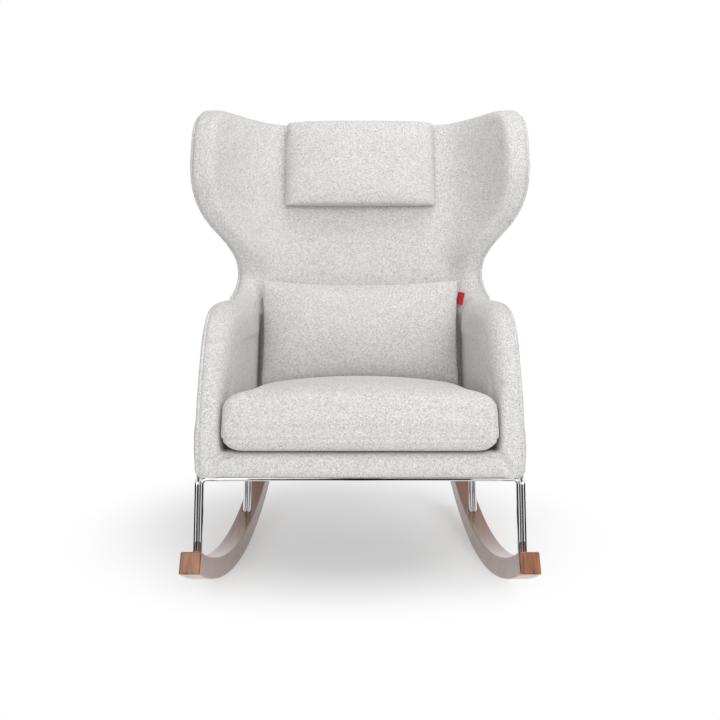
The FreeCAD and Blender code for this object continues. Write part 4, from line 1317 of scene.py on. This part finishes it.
@dataclass
class SeatCushion:
    """Boxed seat cushion: foam in a tweed cover with one seam low round its sides."""

    tweed: bpy.types.Material
    front: float = -388.0
    rear: float = 50.0
    half: float = 294.5
    bottom: float = 348.8
    side_top: float = 471.5
    fill: float = 0.85

    # Fuller in front of the arms, drawn in along the sides, crowned, and lower behind
    swell_start: float = -300.0
    swell_end: float = -360.0
    front_swell: float = 6.5
    draw_in: float = 4.0
    crown: float = 26.0
    end_crown: float = 0.4
    fall_start: float = -130.0
    fall_end: float = 0.0
    rear_fall: float = 14.0
    corner: float = 30.0
    low_corner: float = 50.0
    quads: int = 56

    # Cloth: how much smaller it starts, and the limits that it keeps to
    inset: float = 3.5
    voxel_mm: float = 6.0
    easing: int = 4
    pressure: float = 4.0
    cap_mm: float = 4.0
    arm_gap: float = 1.2
    front_room: float = 6.0
    rear_room: float = 1.0
    low_room: float = 0.2
    under_lumbar: float = 475.5
    lumbar_front: float = -2.0

    # Seam: its height, its groove, and how squarely it goes round the corners
    seam_level: float = 377.0
    seam_groove: tuple[float, float] = (2.0, 2.6)
    seam_hold: float = 30.0
    seam_square: float = 10.0
    seam_places: int = 900

    def half_at(self, depth: np.ndarray) -> np.ndarray:
        """Half width at a depth: between the toed-in arms, and fuller in front of them."""
        swell = self.front_swell * eased(depth, self.swell_start, self.swell_end)
        return self.half + swell - (depth - TOE_DEPTH) * math.tan(math.radians(TOE_DEG))

    def form(self) -> bpy.types.Object:
        """Crowned block a little smaller than the finished cushion."""
        middle = (self.front + self.rear) / 2.0
        sides = (self.half, (self.rear - self.front) / 2.0, (self.side_top - self.bottom) / 2.0)
        size = np.array(sides) - self.inset
        points, faces = rounded_block(size, self.corner, self.quads)
        across, along, rise = (points / size).T
        depth = middle + points[:, 1]
        draw = self.draw_in * (1.0 - along**2)
        points[:, 0] = across * (self.half_at(depth) - self.inset - draw)
        climb = np.clip((rise + 1.0) / 2.0, 0.0, 1.0)
        peak = self.crown * (self.end_crown + (1.0 - self.end_crown) * (1.0 - along**2))
        peak = peak * (1.0 - across**2)
        peak -= self.rear_fall * eased(depth, self.fall_start, self.fall_end)
        points[:, 2] += (self.bottom + self.side_top) / 2.0 + climb**2 * peak - self.inset * (1.0 - climb)
        points[:, 1] = depth
        tuck = rolled(points[:, 2] - self.bottom, self.low_corner)
        room = self.half_at(depth) - self.inset - tuck
        points[:, 0] = np.clip(points[:, 0], -room, room)
        return mesh_object("seat_cushion", points, faces)

    def seam_line(self, piece: bpy.types.Object) -> np.ndarray:
        """The seam round the sides.

        Args:
            piece: The cushion, drawn level.

        Returns:
            Closely spaced points on the cushion.
        """
        turns = np.linspace(-math.pi, math.pi, self.seam_places)
        middle = (self.front + self.rear) / 2.0
        reach = (self.rear - self.front) / 2.0
        square = self.seam_square
        powers = (np.abs(np.cos(turns)) ** square + np.abs(np.sin(turns)) ** square) ** (1.0 / square)
        depth = middle + reach * np.sin(turns) / powers
        across = self.half_at(depth) * np.cos(turns) / powers
        levels = np.full(turns.size, self.seam_level)
        return on_skin(piece, np.column_stack((across, depth, levels)), 0.0)

    def build(self) -> bpy.types.Object:
        """Make the cushion, finish it and set it on its body."""
        piece = remeshed(self.form(), self.voxel_mm, self.easing)
        above = self.seam_level + self.seam_hold - level_points(piece)[:, 2]
        inflated(piece, self.pressure, self.cap_mm, np.clip(above / self.seam_hold, 0.0, 1.0))
        points = level_points(piece)
        room = np.maximum(self.half_at(points[:, 1]), inner_arm(points[:, 1]) - self.arm_gap)
        points[:, 0] = np.clip(points[:, 0], -room, room)
        points[:, 1] = np.clip(points[:, 1], self.front - self.front_room, self.rear + self.rear_room)
        headroom = self.under_lumbar + np.maximum(self.lumbar_front - points[:, 1], 0.0)
        points[:, 2] = np.clip(points[:, 2], self.bottom - self.low_room, headroom)
        put_points(piece, points)
        finer(piece)
        sewn(piece, [self.seam_line(piece)], *self.seam_groove)
        place(piece, Body.SEAT, Slot.TWEED, self.tweed, ("seat_cushion_cover", "seat_cushion_core"))
        return piece


def against_back(level: float, clearance: float) -> Matrix:
    """Place for a piece drawn upright about the origin, laid against the inside back.

    Args:
        level: Height of its middle.
        clearance: Distance of its middle from the back.

    Returns:
        The place as a matrix in metres, drawn level.
    """
    tilt = Matrix.Rotation(-math.atan(BACK_SLOPE), 4, "X")
    return Matrix.Translation((0.0, (back_face(level) - clearance) * MM, level * MM)) @ tilt


@dataclass
class LumbarCushion:
    """Knife-edged lumbar cushion with pointed corners, and the plain tab in its side seam."""

    tweed: bpy.types.Material
    tab: bpy.types.Material
    level: float = 597.0
    half: float = 243.5
    half_tall: float = 115.5
    thick: float = 112.0
    fill: float = 0.75

    # Corners that stand out, bowed sides, and a seam that lies nearer to the back than the middle
    ear: float = 15.0
    low_ear: float = 17.0
    bow: float = 7.0
    edge: float = 5.0
    edge_back: float = 14.0
    fullness: float = 0.58
    columns: int = 121
    rows: int = 81

    # Cloth: how much smaller it starts, and the limits that it keeps to
    slack: float = 10.0
    gap: float = 1.5
    front_room: float = 4.0
    voxel_mm: float = 5.0
    easing: int = 3
    pressure: float = 4.0
    cap_mm: float = 8.0
    seam_hold: float = 7.0
    seam_places: int = 240

    # Tab: a folded strip, fuller past the seam
    tab_low: float = 69.0
    tab_tall: float = 31.0
    tab_out: float = 12.0
    tab_in: float = 4.0
    tab_half_thick: float = 0.8
    tab_full_at: float = 0.6
    tab_full: float = 1.15
    tab_fold_step_deg: int = 30
    tab_rows: int = 13
    tab_slant_deg: float = 12.0

    def rim_tall(self, across: np.ndarray, ear: float) -> np.ndarray:
        """Half height of the seam at a distance from the middle."""
        return self.half_tall + ear * (across / self.half) ** 2

    def form(self) -> bpy.types.Object:
        """Two bowed skins that meet in the seam."""
        shares, climbs = np.meshgrid(crowded(self.columns), crowded(self.rows))
        across = shares * (self.half - self.bow * (1.0 - climbs**2))
        above, below = self.rim_tall(across, self.ear), self.rim_tall(across, self.low_ear)
        tall = climbs * np.where(climbs > 0.0, above, below)
        swell = np.clip((1.0 - shares**2) * (1.0 - climbs**2), 0.0, 1.0) ** self.fullness
        bulge = self.edge / 2.0 + (self.thick - self.edge - self.slack) / 2.0 * swell
        skins = [np.stack((across, side * bulge, tall), axis=-1).reshape(-1, 3) for side in (-1.0, 1.0)]
        return mesh_object("lumbar_cushion", np.concatenate(skins), paired_faces(self.rows, self.columns))

    def seam_line(self) -> np.ndarray:
        """The seam round the cushion's edge, drawn about its middle."""
        places = np.linspace(-1.0, 1.0, self.seam_places)
        across = places * self.half
        flat = np.zeros(places.size)
        top = np.column_stack((across, flat, self.rim_tall(across, self.ear)))
        low = np.column_stack((across, flat, -self.rim_tall(across, self.low_ear)))
        bowed = self.half - self.bow * (1.0 - places**2)
        side = np.column_stack((bowed, flat, places * (self.half_tall + self.ear)))
        return np.concatenate((top, low, side, mirrored(side)))

    def tab_piece(self) -> bpy.types.Object:
        """Plain folded strip that stands out of the right side seam."""
        thick = self.tab_half_thick
        root, full = self.half - self.tab_in, self.half + self.tab_out * self.tab_full_at
        fold = [(root, thick), (full, thick * self.tab_full)]
        for step in range(90, -91, -self.tab_fold_step_deg):
            turn = math.radians(step)
            fold.append((self.half + self.tab_out - thick + thick * math.cos(turn), thick * math.sin(turn)))
        fold += [(full, -thick * self.tab_full), (root, -thick)]
        section = np.array(fold)
        levels = self.tab_low + self.tab_tall * (crowded(self.tab_rows) + 1.0) / 2.0
        rows = [np.column_stack((section, np.full(len(section), level))) for level in levels]
        return mesh_object("lumbar_tab_cloth", np.concatenate(rows), capped_faces(len(rows), len(section)))

    def build(self) -> bpy.types.Object:
        """Make cushion and tab, finish them and set them on their body."""
        piece = remeshed(self.form(), self.voxel_mm, self.easing)
        away = nearness(level_points(piece), self.seam_line())
        inflated(piece, self.pressure, self.cap_mm, bell(away, self.seam_hold))
        points = level_points(piece)
        points[:, 0] = np.clip(points[:, 0], -self.half, self.half)
        across, climb = points[:, 0] / self.half, points[:, 2] / (self.half_tall + self.ear)
        swell = np.clip((1.0 - across**2) * (1.0 - climb**2), 0.0, 1.0)
        points[:, 1] += self.edge_back * (1.0 - np.sqrt(swell))
        points[:, 1] = np.clip(points[:, 1], -self.thick / 2.0 - self.front_room, self.thick / 2.0)
        put_points(piece, points)
        finer(piece)
        laid = against_back(self.level, self.thick / 2.0 + self.gap)
        tab = self.tab_piece()
        hinge = Matrix.Translation((self.half * MM, 0.0, (self.tab_low + self.tab_tall / 2.0) * MM))
        slant = hinge @ Matrix.Rotation(math.radians(self.tab_slant_deg), 4, "Y") @ hinge.inverted()
        tab.data.transform(Matrix.Translation((0.0, self.edge_back * MM, 0.0)) @ slant)
        for part in (piece, tab):
            part.data.transform(laid)
        place(tab, Body.LUMBAR, Slot.TAB, self.tab, ("lumbar_tab",))
        place(piece, Body.LUMBAR, Slot.TWEED, self.tweed, ("lumbar_cushion_cover", "lumbar_cushion_fill"))
        return piece


@dataclass
class HeadPillow:
    """Flat head pillow, the wide strap behind it and the weighted pouch that holds it up."""

    tweed: bpy.types.Material
    level: float = 1018.5
    half: float = 187.0
    half_tall: float = 109.0
    thick: float = 50.0
    fill: float = 0.6

    # Pillow: thin at its ends, narrower at its top, and wrapped a little round the strap's edges
    end_thick: float = 9.0
    top_fall: float = 0.75
    low_fall: float = 0.4
    fullness: float = 0.75
    end_draw: float = 0.02
    top_draw: float = 0.012
    corner: float = 6.0
    quads: int = 44
    start_grow: tuple[float, float, float] = (1.0, -1.5, -0.5)
    wrap_start: float = 2.0
    wrap_end: float = 8.0
    wrap_short: float = 1.5
    wrap_most: float = 1.0

    # Cloth: how it is held, and the limits that it keeps to
    voxel_mm: float = 5.0
    easing: int = 3
    pressure: float = 4.0
    cap_mm: float = 5.0
    rear_hold: float = 5.0
    edge_hold: float = 6.0
    rear_gap: float = 0.2
    strap_gap: float = 1.0

    # Strap over the top of the back, with a stitched line near each edge
    strap_half: float = 176.0
    strap_thick: float = 8.0
    strap_lift: float = 0.6
    strap_front: float = 985.0
    strap_rear: float = 950.0
    strap_edge: float = 5.0
    strap_columns: int = 81
    strap_levels: int = 24
    strap_turns: int = 13
    strap_step: float = 6.0
    strap_fill: float = 0.5
    stitch_in: float = 12.0
    stitch_deep: float = 1.4
    stitch_wide: float = 3.0
    back_top: float = 1121.0
    back_round: float = 30.0
    rear_round: float = 12.0

    # Pouch with two channels: valleys at the middle, near top and bottom, and near the sides
    pouch_low: float = 850.0
    pouch_tall: float = 115.0
    pouch_thick: float = 14.0
    pouch_corner: float = 4.5
    pouch_quads: int = 48
    pouch_fill: float = 0.3
    valley_wide: float = 0.07
    hem_at: float = 0.86
    hem_wide: float = 0.05
    side_in: float = 9.0
    side_wide: float = 3.0
    valley_deep: float = 2.2
    channel_swell: float = 1.6
    slide_gap: float = 0.6

    def form(self) -> bpy.types.Object:
        """Flat-backed pad, fullest in its middle, a little smaller than the finished pillow."""
        size = np.array((self.half, self.thick / 2.0, self.half_tall)) + self.start_grow
        points, faces = rounded_block(size, self.corner, self.quads)
        across, _, climb = (points / size).T
        fall = np.where(climb > 0.0, self.top_fall, self.low_fall)
        swell = np.clip((1.0 - across**4) * (1.0 - fall * climb**6), 0.0, 1.0) ** self.fullness
        share = (self.end_thick + (self.thick - self.end_thick) * swell) / self.thick
        points[:, 1] = size[1] + (points[:, 1] - size[1]) * share
        points[:, 2] *= 1.0 - self.end_draw * across**2
        points[:, 0] *= 1.0 - self.top_draw * climb
        past = np.abs(points[:, 0]) - self.strap_half
        points[:, 1] += (self.strap_thick - self.wrap_short) * eased(past, self.wrap_start, self.wrap_end)
        return mesh_object("head_pillow", points, faces)

    def pillow(self) -> bpy.types.Object:
        """Blow the pillow up and set it on its body."""
        piece = remeshed(self.form(), self.voxel_mm, self.easing)
        points = level_points(piece)
        edge = np.minimum(self.half - np.abs(points[:, 0]), self.half_tall - np.abs(points[:, 2]))
        behind = points[:, 1] > self.thick / 2.0 - self.rear_hold
        inflated(piece, self.pressure, self.cap_mm, np.where(behind, 1.0, bell(edge, self.edge_hold)))
        points = level_points(piece)
        wraps = np.abs(points[:, 0]) > self.strap_half + self.wrap_start
        rear = self.thick / 2.0 + np.where(wraps, self.strap_thick - self.wrap_most, -self.rear_gap)
        points[:, 1] = np.clip(points[:, 1], -self.thick, rear)
        put_points(piece, points)
        finer(piece)
        piece.data.transform(against_back(self.level, self.strap_thick + self.strap_gap + self.thick / 2.0))
        place(piece, Body.PILLOW, Slot.TWEED, self.tweed, ("head_pillow_cover", "head_pillow_fill"))
        return piece

    def strap_path(self, grow: float) -> np.ndarray:
        """Side line of the strap over the top of the back.

        Args:
            grow: Distance off the back.

        Returns:
            Rows of depth and height from the front end to the rear end.
        """
        top = self.back_top + grow
        front_radius, rear_radius = self.back_round + grow, self.rear_round + grow
        rises = np.linspace(self.strap_front, top - front_radius, self.strap_levels)
        falls = np.linspace(top - rear_radius, self.strap_rear, self.strap_levels)
        turns = np.linspace(0.0, math.pi / 2.0, self.strap_turns)[1:-1]
        corners = (
            (back_face(top) - grow, front_radius, turns),
            (outer_back(top) + grow, -rear_radius, turns[::-1]),
        )
        rows = [np.column_stack((back_face(rises) - grow, rises))]
        for depth, reach, swings in corners:
            over = top - abs(reach) * (1.0 - np.sin(swings))
            rows.append(np.column_stack((depth + reach * (1.0 - np.cos(swings)), over)))
        rows.append(np.column_stack((outer_back(falls) + grow, falls)))
        return path_through(np.concatenate(rows), self.strap_step)

    def strap(self) -> bpy.types.Object:
        """Padded strap with soft edges and a stitched line along each side."""
        middle = self.strap_thick / 2.0
        line = self.strap_path(middle + self.strap_lift)
        along = np.gradient(line, axis=0)
        along /= np.linalg.norm(along, axis=1, keepdims=True)
        out = np.column_stack((-along[:, 1], along[:, 0]))
        across = crowded(self.strap_columns) * self.strap_half
        inward = self.strap_half - np.abs(across)
        full = (middle - self.strap_lift) * (1.0 - rolled(inward, self.strap_edge) / self.strap_edge)
        stitch = self.stitch_deep * bell(inward - self.stitch_in, self.stitch_wide)
        under = np.column_stack((across, -full))[-2:0:-1]
        section = np.concatenate((np.column_stack((across, full - stitch)), under))
        rows = []
        for spot, way in zip(line, out):
            rows.append(np.column_stack((section[:, 0], spot + section[:, 1:] * way)))
        faces = capped_faces(len(rows), len(section))
        piece = mesh_object("head_pillow_strap_cloth", np.concatenate(rows), faces)
        place(piece, Body.CHAIR, Slot.TWEED, self.tweed, ("head_pillow_strap",))
        return piece

    def pouch(self) -> bpy.types.Object:
        """Flat pouch with two sewn channels for the weight bars."""
        size = np.array((self.strap_half, self.pouch_thick / 2.0, self.pouch_tall / 2.0))
        points, faces = rounded_block(size, self.pouch_corner, self.pouch_quads)
        outer = np.clip(points[:, 1] / size[1], 0.0, 1.0)
        climb = points[:, 2] / size[2]
        valley = bell(climb, self.valley_wide) + bell(np.abs(climb) - self.hem_at, self.hem_wide)
        valley += bell(size[0] - np.abs(points[:, 0]) - self.side_in, self.side_wide)
        swell = self.channel_swell * (np.sin(math.pi * np.clip(np.abs(climb), 0.0, 1.0)) ** 2 - 1.0)
        points[:, 1] += outer * (swell - self.valley_deep * np.clip(valley, 0.0, 1.0))
        piece = mesh_object("weight_pouch_cloth", points, faces)
        tilt = Matrix.Rotation(-math.atan(OUTER_SLOPE), 4, "X")
        depth = outer_back(self.pouch_low) + self.strap_thick + self.slide_gap
        foot = Matrix.Translation((0.0, depth * MM, self.pouch_low * MM))
        raised = Matrix.Translation((0.0, size[1] * MM, size[2] * MM))
        piece.data.transform(foot @ tilt @ raised)
        place(piece, Body.WEIGHT, Slot.TWEED, self.tweed, ("weight_pouch",))
        return piece

    def build(self) -> None:
        """Make pillow, strap and pouch."""
        self.pillow()
        self.strap()
        self.pouch()


@dataclass
class SeatLining:
    """Deck cloth under the seat cushion and dust cover under the seat frame."""

    deck: bpy.types.Material
    lining: bpy.types.Material
    front: float = -343.0
    deck_rear: float = 80.0
    cover_rear: float = 205.0
    cover_lift: float = 0.1
    cover_sag: float = 5.0
    arm_gap: float = 1.0
    thick: float = 1.0
    places: int = 41

    def half_at(self, depth: Values) -> Values:
        """Half width of a cloth between the arms at a depth."""
        return inner_arm(depth) - self.arm_gap

    def sheet(self, name: str, rear: float, level: float, sag: float) -> bpy.types.Object:
        """Cloth stretched between the arms, thin and closed.

        Args:
            name: Name of the piece.
            rear: Depth of its rear edge.
            level: Height of its top face.
            sag: How far its middle hangs.

        Returns:
            The piece, drawn level.
        """
        shares, runs = np.meshgrid(np.linspace(-1.0, 1.0, self.places), np.linspace(0.0, 1.0, self.places))
        depth = self.front + runs * (rear - self.front)
        across = shares * self.half_at(depth)
        fall = sag * ((1.0 - shares**2) * (1.0 - (2.0 * runs - 1.0) ** 2)) ** 2
        upper = np.stack((across, depth, level - fall), axis=-1).reshape(-1, 3)
        lower = upper - np.array((0.0, 0.0, self.thick))
        return mesh_object(name, np.concatenate((upper, lower)), paired_faces(self.places, self.places))

    def build(self) -> None:
        """Make both sheets and set them on the chair."""
        plans = (
            ("seat_deck", self.deck_rear, DECK_TOP, 0.0, self.deck, "seat_webbing_cross"),
            ("dust_cover", self.cover_rear, BODY_BOTTOM + self.cover_lift, self.cover_sag, self.lining,
             "seat_front_rail"),
        )
        for name, rear, level, sag, finish, carrier in plans:
            piece = self.sheet(name + "_cloth", rear, level, sag)
            place(piece, Body.CHAIR, Slot.WEBBING, finish, (name,))


@dataclass
class CarriedFrame:
    """Frame nodes that keep their own shape and get a finish."""

    finishes: Finishes

    def build(self) -> None:
        """Give every kept node its finish."""
        plans = (
            (self.finishes.walnut, ("rocker_left", "rocker_right", "rocker_plugs")),
            (self.finishes.chrome, (
                "front_leg_frame", "rear_leg_frame", "side_leg_frame_left", "side_leg_frame_right",
                "foot_plates")),
            (self.finishes.zinc, (
                "rocker_screws", "mounting_plates", "frame_bolts", "arm_bolts", "weight_bars")),
            (self.finishes.ply, (
                "seat_front_rail", "seat_rear_rail", "seat_side_rail_left", "seat_side_rail_right",
                "arm_frame_left", "arm_frame_right", "back_post_left", "back_post_right",
                "back_middle_rail", "back_top_rail", "wing_frame_left", "wing_frame_right")),
            (self.finishes.webbing, ("seat_webbing_long", "seat_webbing_cross", "back_webbing")),
        )
        for finish, names in plans:
            for name in names:
                dress(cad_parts[name], finish)
                log.info("%s is finished in %s", name, finish.name)


def ray_share(tree: bpy.types.NodeTree, kinds: Sequence[str]) -> bpy.types.NodeSocket:
    """Tell rays of some kinds from all others.

    Args:
        tree: Node tree of a material or of the world.
        kinds: Names of the kinds of ray.

    Returns:
        The socket that gives one for such a ray and nought for any other.
    """
    rays = add_node(tree, "ShaderNodeLightPath")
    share = rays.outputs[kinds[0]]
    for kind in kinds[1:]:
        either = add_node(tree, "ShaderNodeMath", {"operation": "MAXIMUM"}, {0: share, 1: rays.outputs[kind]})
        share = either.outputs[0]
    return share


@dataclass
class Studio:
    """Pale floor, soft lamps, white surroundings and the camera of the photograph.

    Lengths are in metres, but those of the dark cards are in millimetres.
    """

    camera_place: tuple[float, float, float] = (0.0, -2.847, 0.9425)
    camera_pitch_deg: float = 81.0
    lens_mm: float = 60.0
    sensor_mm: float = 36.0
    world_light: float = 0.47
    white: str = "#FFFFFF"

    # Lamps as name, place, side of the square face and power in watts, and the point they look at
    lamps: tuple[tuple[str, tuple[float, float, float], float, float], ...] = (
        ("key_lamp", (1.9, -2.7, 2.3), 1.6, 34.0),
        ("front_lamp", (-1.0, -4.2, 1.8), 2.4, 56.0),
        ("top_lamp", (0.6, -0.5, 3.1), 1.6, 26.0),
    )
    aim: tuple[float, float, float] = (0.0, 0.0, 0.5)

    # Floor: the shadow's middle, and the distances from it over which the floor runs out to white
    floor_half: float = 9.0
    floor_paint: str = "#FBFBFB"
    shadow_middle: tuple[float, float, float] = (-0.05, 0.25, 0.0)
    shadow_near: float = 0.3
    shadow_far: float = 0.76
    least_white: float = 0.38

    # Dark cards: upright ones from a near to a far foot, and one that lies in front of the legs
    card_felt: str = "#0C0C0D"
    card_low: float = 2.0
    card_tall: float = 340.0
    upright_cards: tuple[tuple[str, tuple[float, float], tuple[float, float]], ...] = (
        ("side", (475.0, -590.0), (540.0, -240.0)),
        ("front", (270.0, -660.0), (0.0, -430.0)),
    )
    flat_half: float = 320.0
    flat_front: float = -560.0
    flat_rear: float = -440.0
    flat_level: float = 120.0

    def camera(self) -> None:
        """Set up the camera."""
        data = bpy.data.cameras.new("camera")
        data.lens = self.lens_mm
        data.sensor_width = self.sensor_mm
        camera = linked("camera", data)
        camera.location = self.camera_place
        camera.rotation_euler = (math.radians(self.camera_pitch_deg), 0.0, 0.0)
        bpy.context.scene.camera = camera

    def lamp(self, name: str, spot: tuple[float, float, float], width: float, power: float) -> None:
        """Add one soft lamp that looks at the chair.

        Args:
            name: Name of the lamp.
            spot: Where it stands, in metres.
            width: Side of its square face, in metres.
            power: Power in watts.
        """
        data = bpy.data.lights.new(name, "AREA")
        data.size = width
        data.energy = power
        lamp = linked(name, data)
        lamp.location = spot
        lamp.rotation_euler = (Vector(self.aim) - Vector(spot)).to_track_quat("-Z", "Y").to_euler()

    def card(self, name: str, corners: Sequence[Sequence[float]]) -> None:
        """Add a dark card that only shiny surfaces see.

        Args:
            name: Name of the card.
            corners: Its corners in millimetres.
        """
        card = mesh_object(name, np.array(corners), [tuple(range(len(corners)))])
        material = new_material(name + "_felt")
        felt = add_node(material.node_tree, "ShaderNodeBsdfDiffuse", inputs={"Color": linear(self.card_felt)})
        dress(card, close_material(material, felt))
        card.visible_camera = False
        card.visible_diffuse = False
        card.visible_shadow = False
        card.visible_transmission = False

    def cards(self) -> None:
        """Set dark cards round the legs, so that the chrome shows dark bands."""
        for name, near, far in self.upright_cards:
            for hand, sign in (("right", 1.0), ("left", -1.0)):
                feet = [(sign * across, depth) for across, depth in (near, far)]
                corners = [(*foot, self.card_low) for foot in feet]
                corners += [(*foot, self.card_tall) for foot in reversed(feet)]
                self.card(f"card_{name}_{hand}", corners)
        half, level = self.flat_half, self.flat_level
        self.card("card_low", (
            (-half, self.flat_front, level), (half, self.flat_front, level),
            (half, self.flat_rear, level), (-half, self.flat_rear, level)))

    def world(self) -> None:
        """White surroundings for the camera and for reflections, and an even soft light."""
        world = bpy.data.worlds.new("studio")
        world.use_nodes = True
        bpy.context.scene.world = world
        tree = world.node_tree
        tree.nodes.clear()
        shown = ray_share(tree, ("Is Camera Ray", "Is Glossy Ray", "Is Transmission Ray"))
        light, white = (
            add_node(tree, "ShaderNodeBackground", inputs={"Color": linear(self.white), "Strength": strength})
            for strength in (self.world_light, 1.0))
        mixed = add_node(tree, "ShaderNodeMixShader", inputs={
            0: shown, 1: light.outputs[0], 2: white.outputs[0]})
        add_node(tree, "ShaderNodeOutputWorld", inputs={"Surface": mixed.outputs[0]})

    def floor(self) -> None:
        """Matt white floor that keeps the shadow and runs out to plain white further away."""
        half = self.floor_half / MM
        corners = np.array(((-half, -half, 0.0), (half, -half, 0.0), (half, half, 0.0), (-half, half, 0.0)))
        floor = mesh_object("floor", corners, [(0, 1, 2, 3)])
        material = new_material("floor_painted_matt")
        tree = material.node_tree
        spots = add_node(tree, "ShaderNodeTexCoord").outputs["Object"]
        offset = add_node(tree, "ShaderNodeVectorMath", {"operation": "SUBTRACT"}, {
            0: spots, 1: self.shadow_middle})
        reach = add_node(tree, "ShaderNodeVectorMath", {"operation": "LENGTH"}, {0: offset.outputs["Vector"]})
        far = add_node(tree, "ShaderNodeMapRange", {"interpolation_type": "SMOOTHSTEP"}, {
            "Value": reach.outputs["Value"], "From Min": self.shadow_near, "From Max": self.shadow_far,
            "To Min": self.least_white})
        paint = add_node(tree, "ShaderNodeBsdfDiffuse", inputs={"Color": linear(self.floor_paint)})
        seen = ray_share(tree, ("Is Camera Ray", "Is Glossy Ray"))
        amount = add_node(tree, "ShaderNodeMath", {"operation": "MULTIPLY"}, {0: far.outputs[0], 1: seen})
        plain = add_node(tree, "ShaderNodeEmission", inputs={"Color": linear(self.white), "Strength": 1.0})
        mixed = add_node(tree, "ShaderNodeMixShader", inputs={
            0: amount.outputs[0], 1: paint.outputs[0], 2: plain.outputs[0]})
        dress(floor, close_material(material, mixed))

    def build(self) -> None:
        """Set up floor, light and camera."""
        bpy.context.scene.view_settings.view_transform = "Standard"
        self.world()
        self.floor()
        for lamp in self.lamps:
            self.lamp(*lamp)
        self.cards()
        self.camera()


def main() -> None:
    """Build the chair's pieces in order."""
    logging.basicConfig(level=logging.INFO, format="%(name)s: %(message)s")
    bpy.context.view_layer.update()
    finishes = Finishes()
    Studio().build()
    CarriedFrame(finishes).build()
    TightCover(finishes.tweed).build()
    SeatLining(finishes.deck, finishes.lining).build()
    SeatCushion(finishes.tweed).build()
    LumbarCushion(finishes.tweed, finishes.tab).build()
    HeadPillow(finishes.tweed).build()


if __name__ == "__main__":
    main()
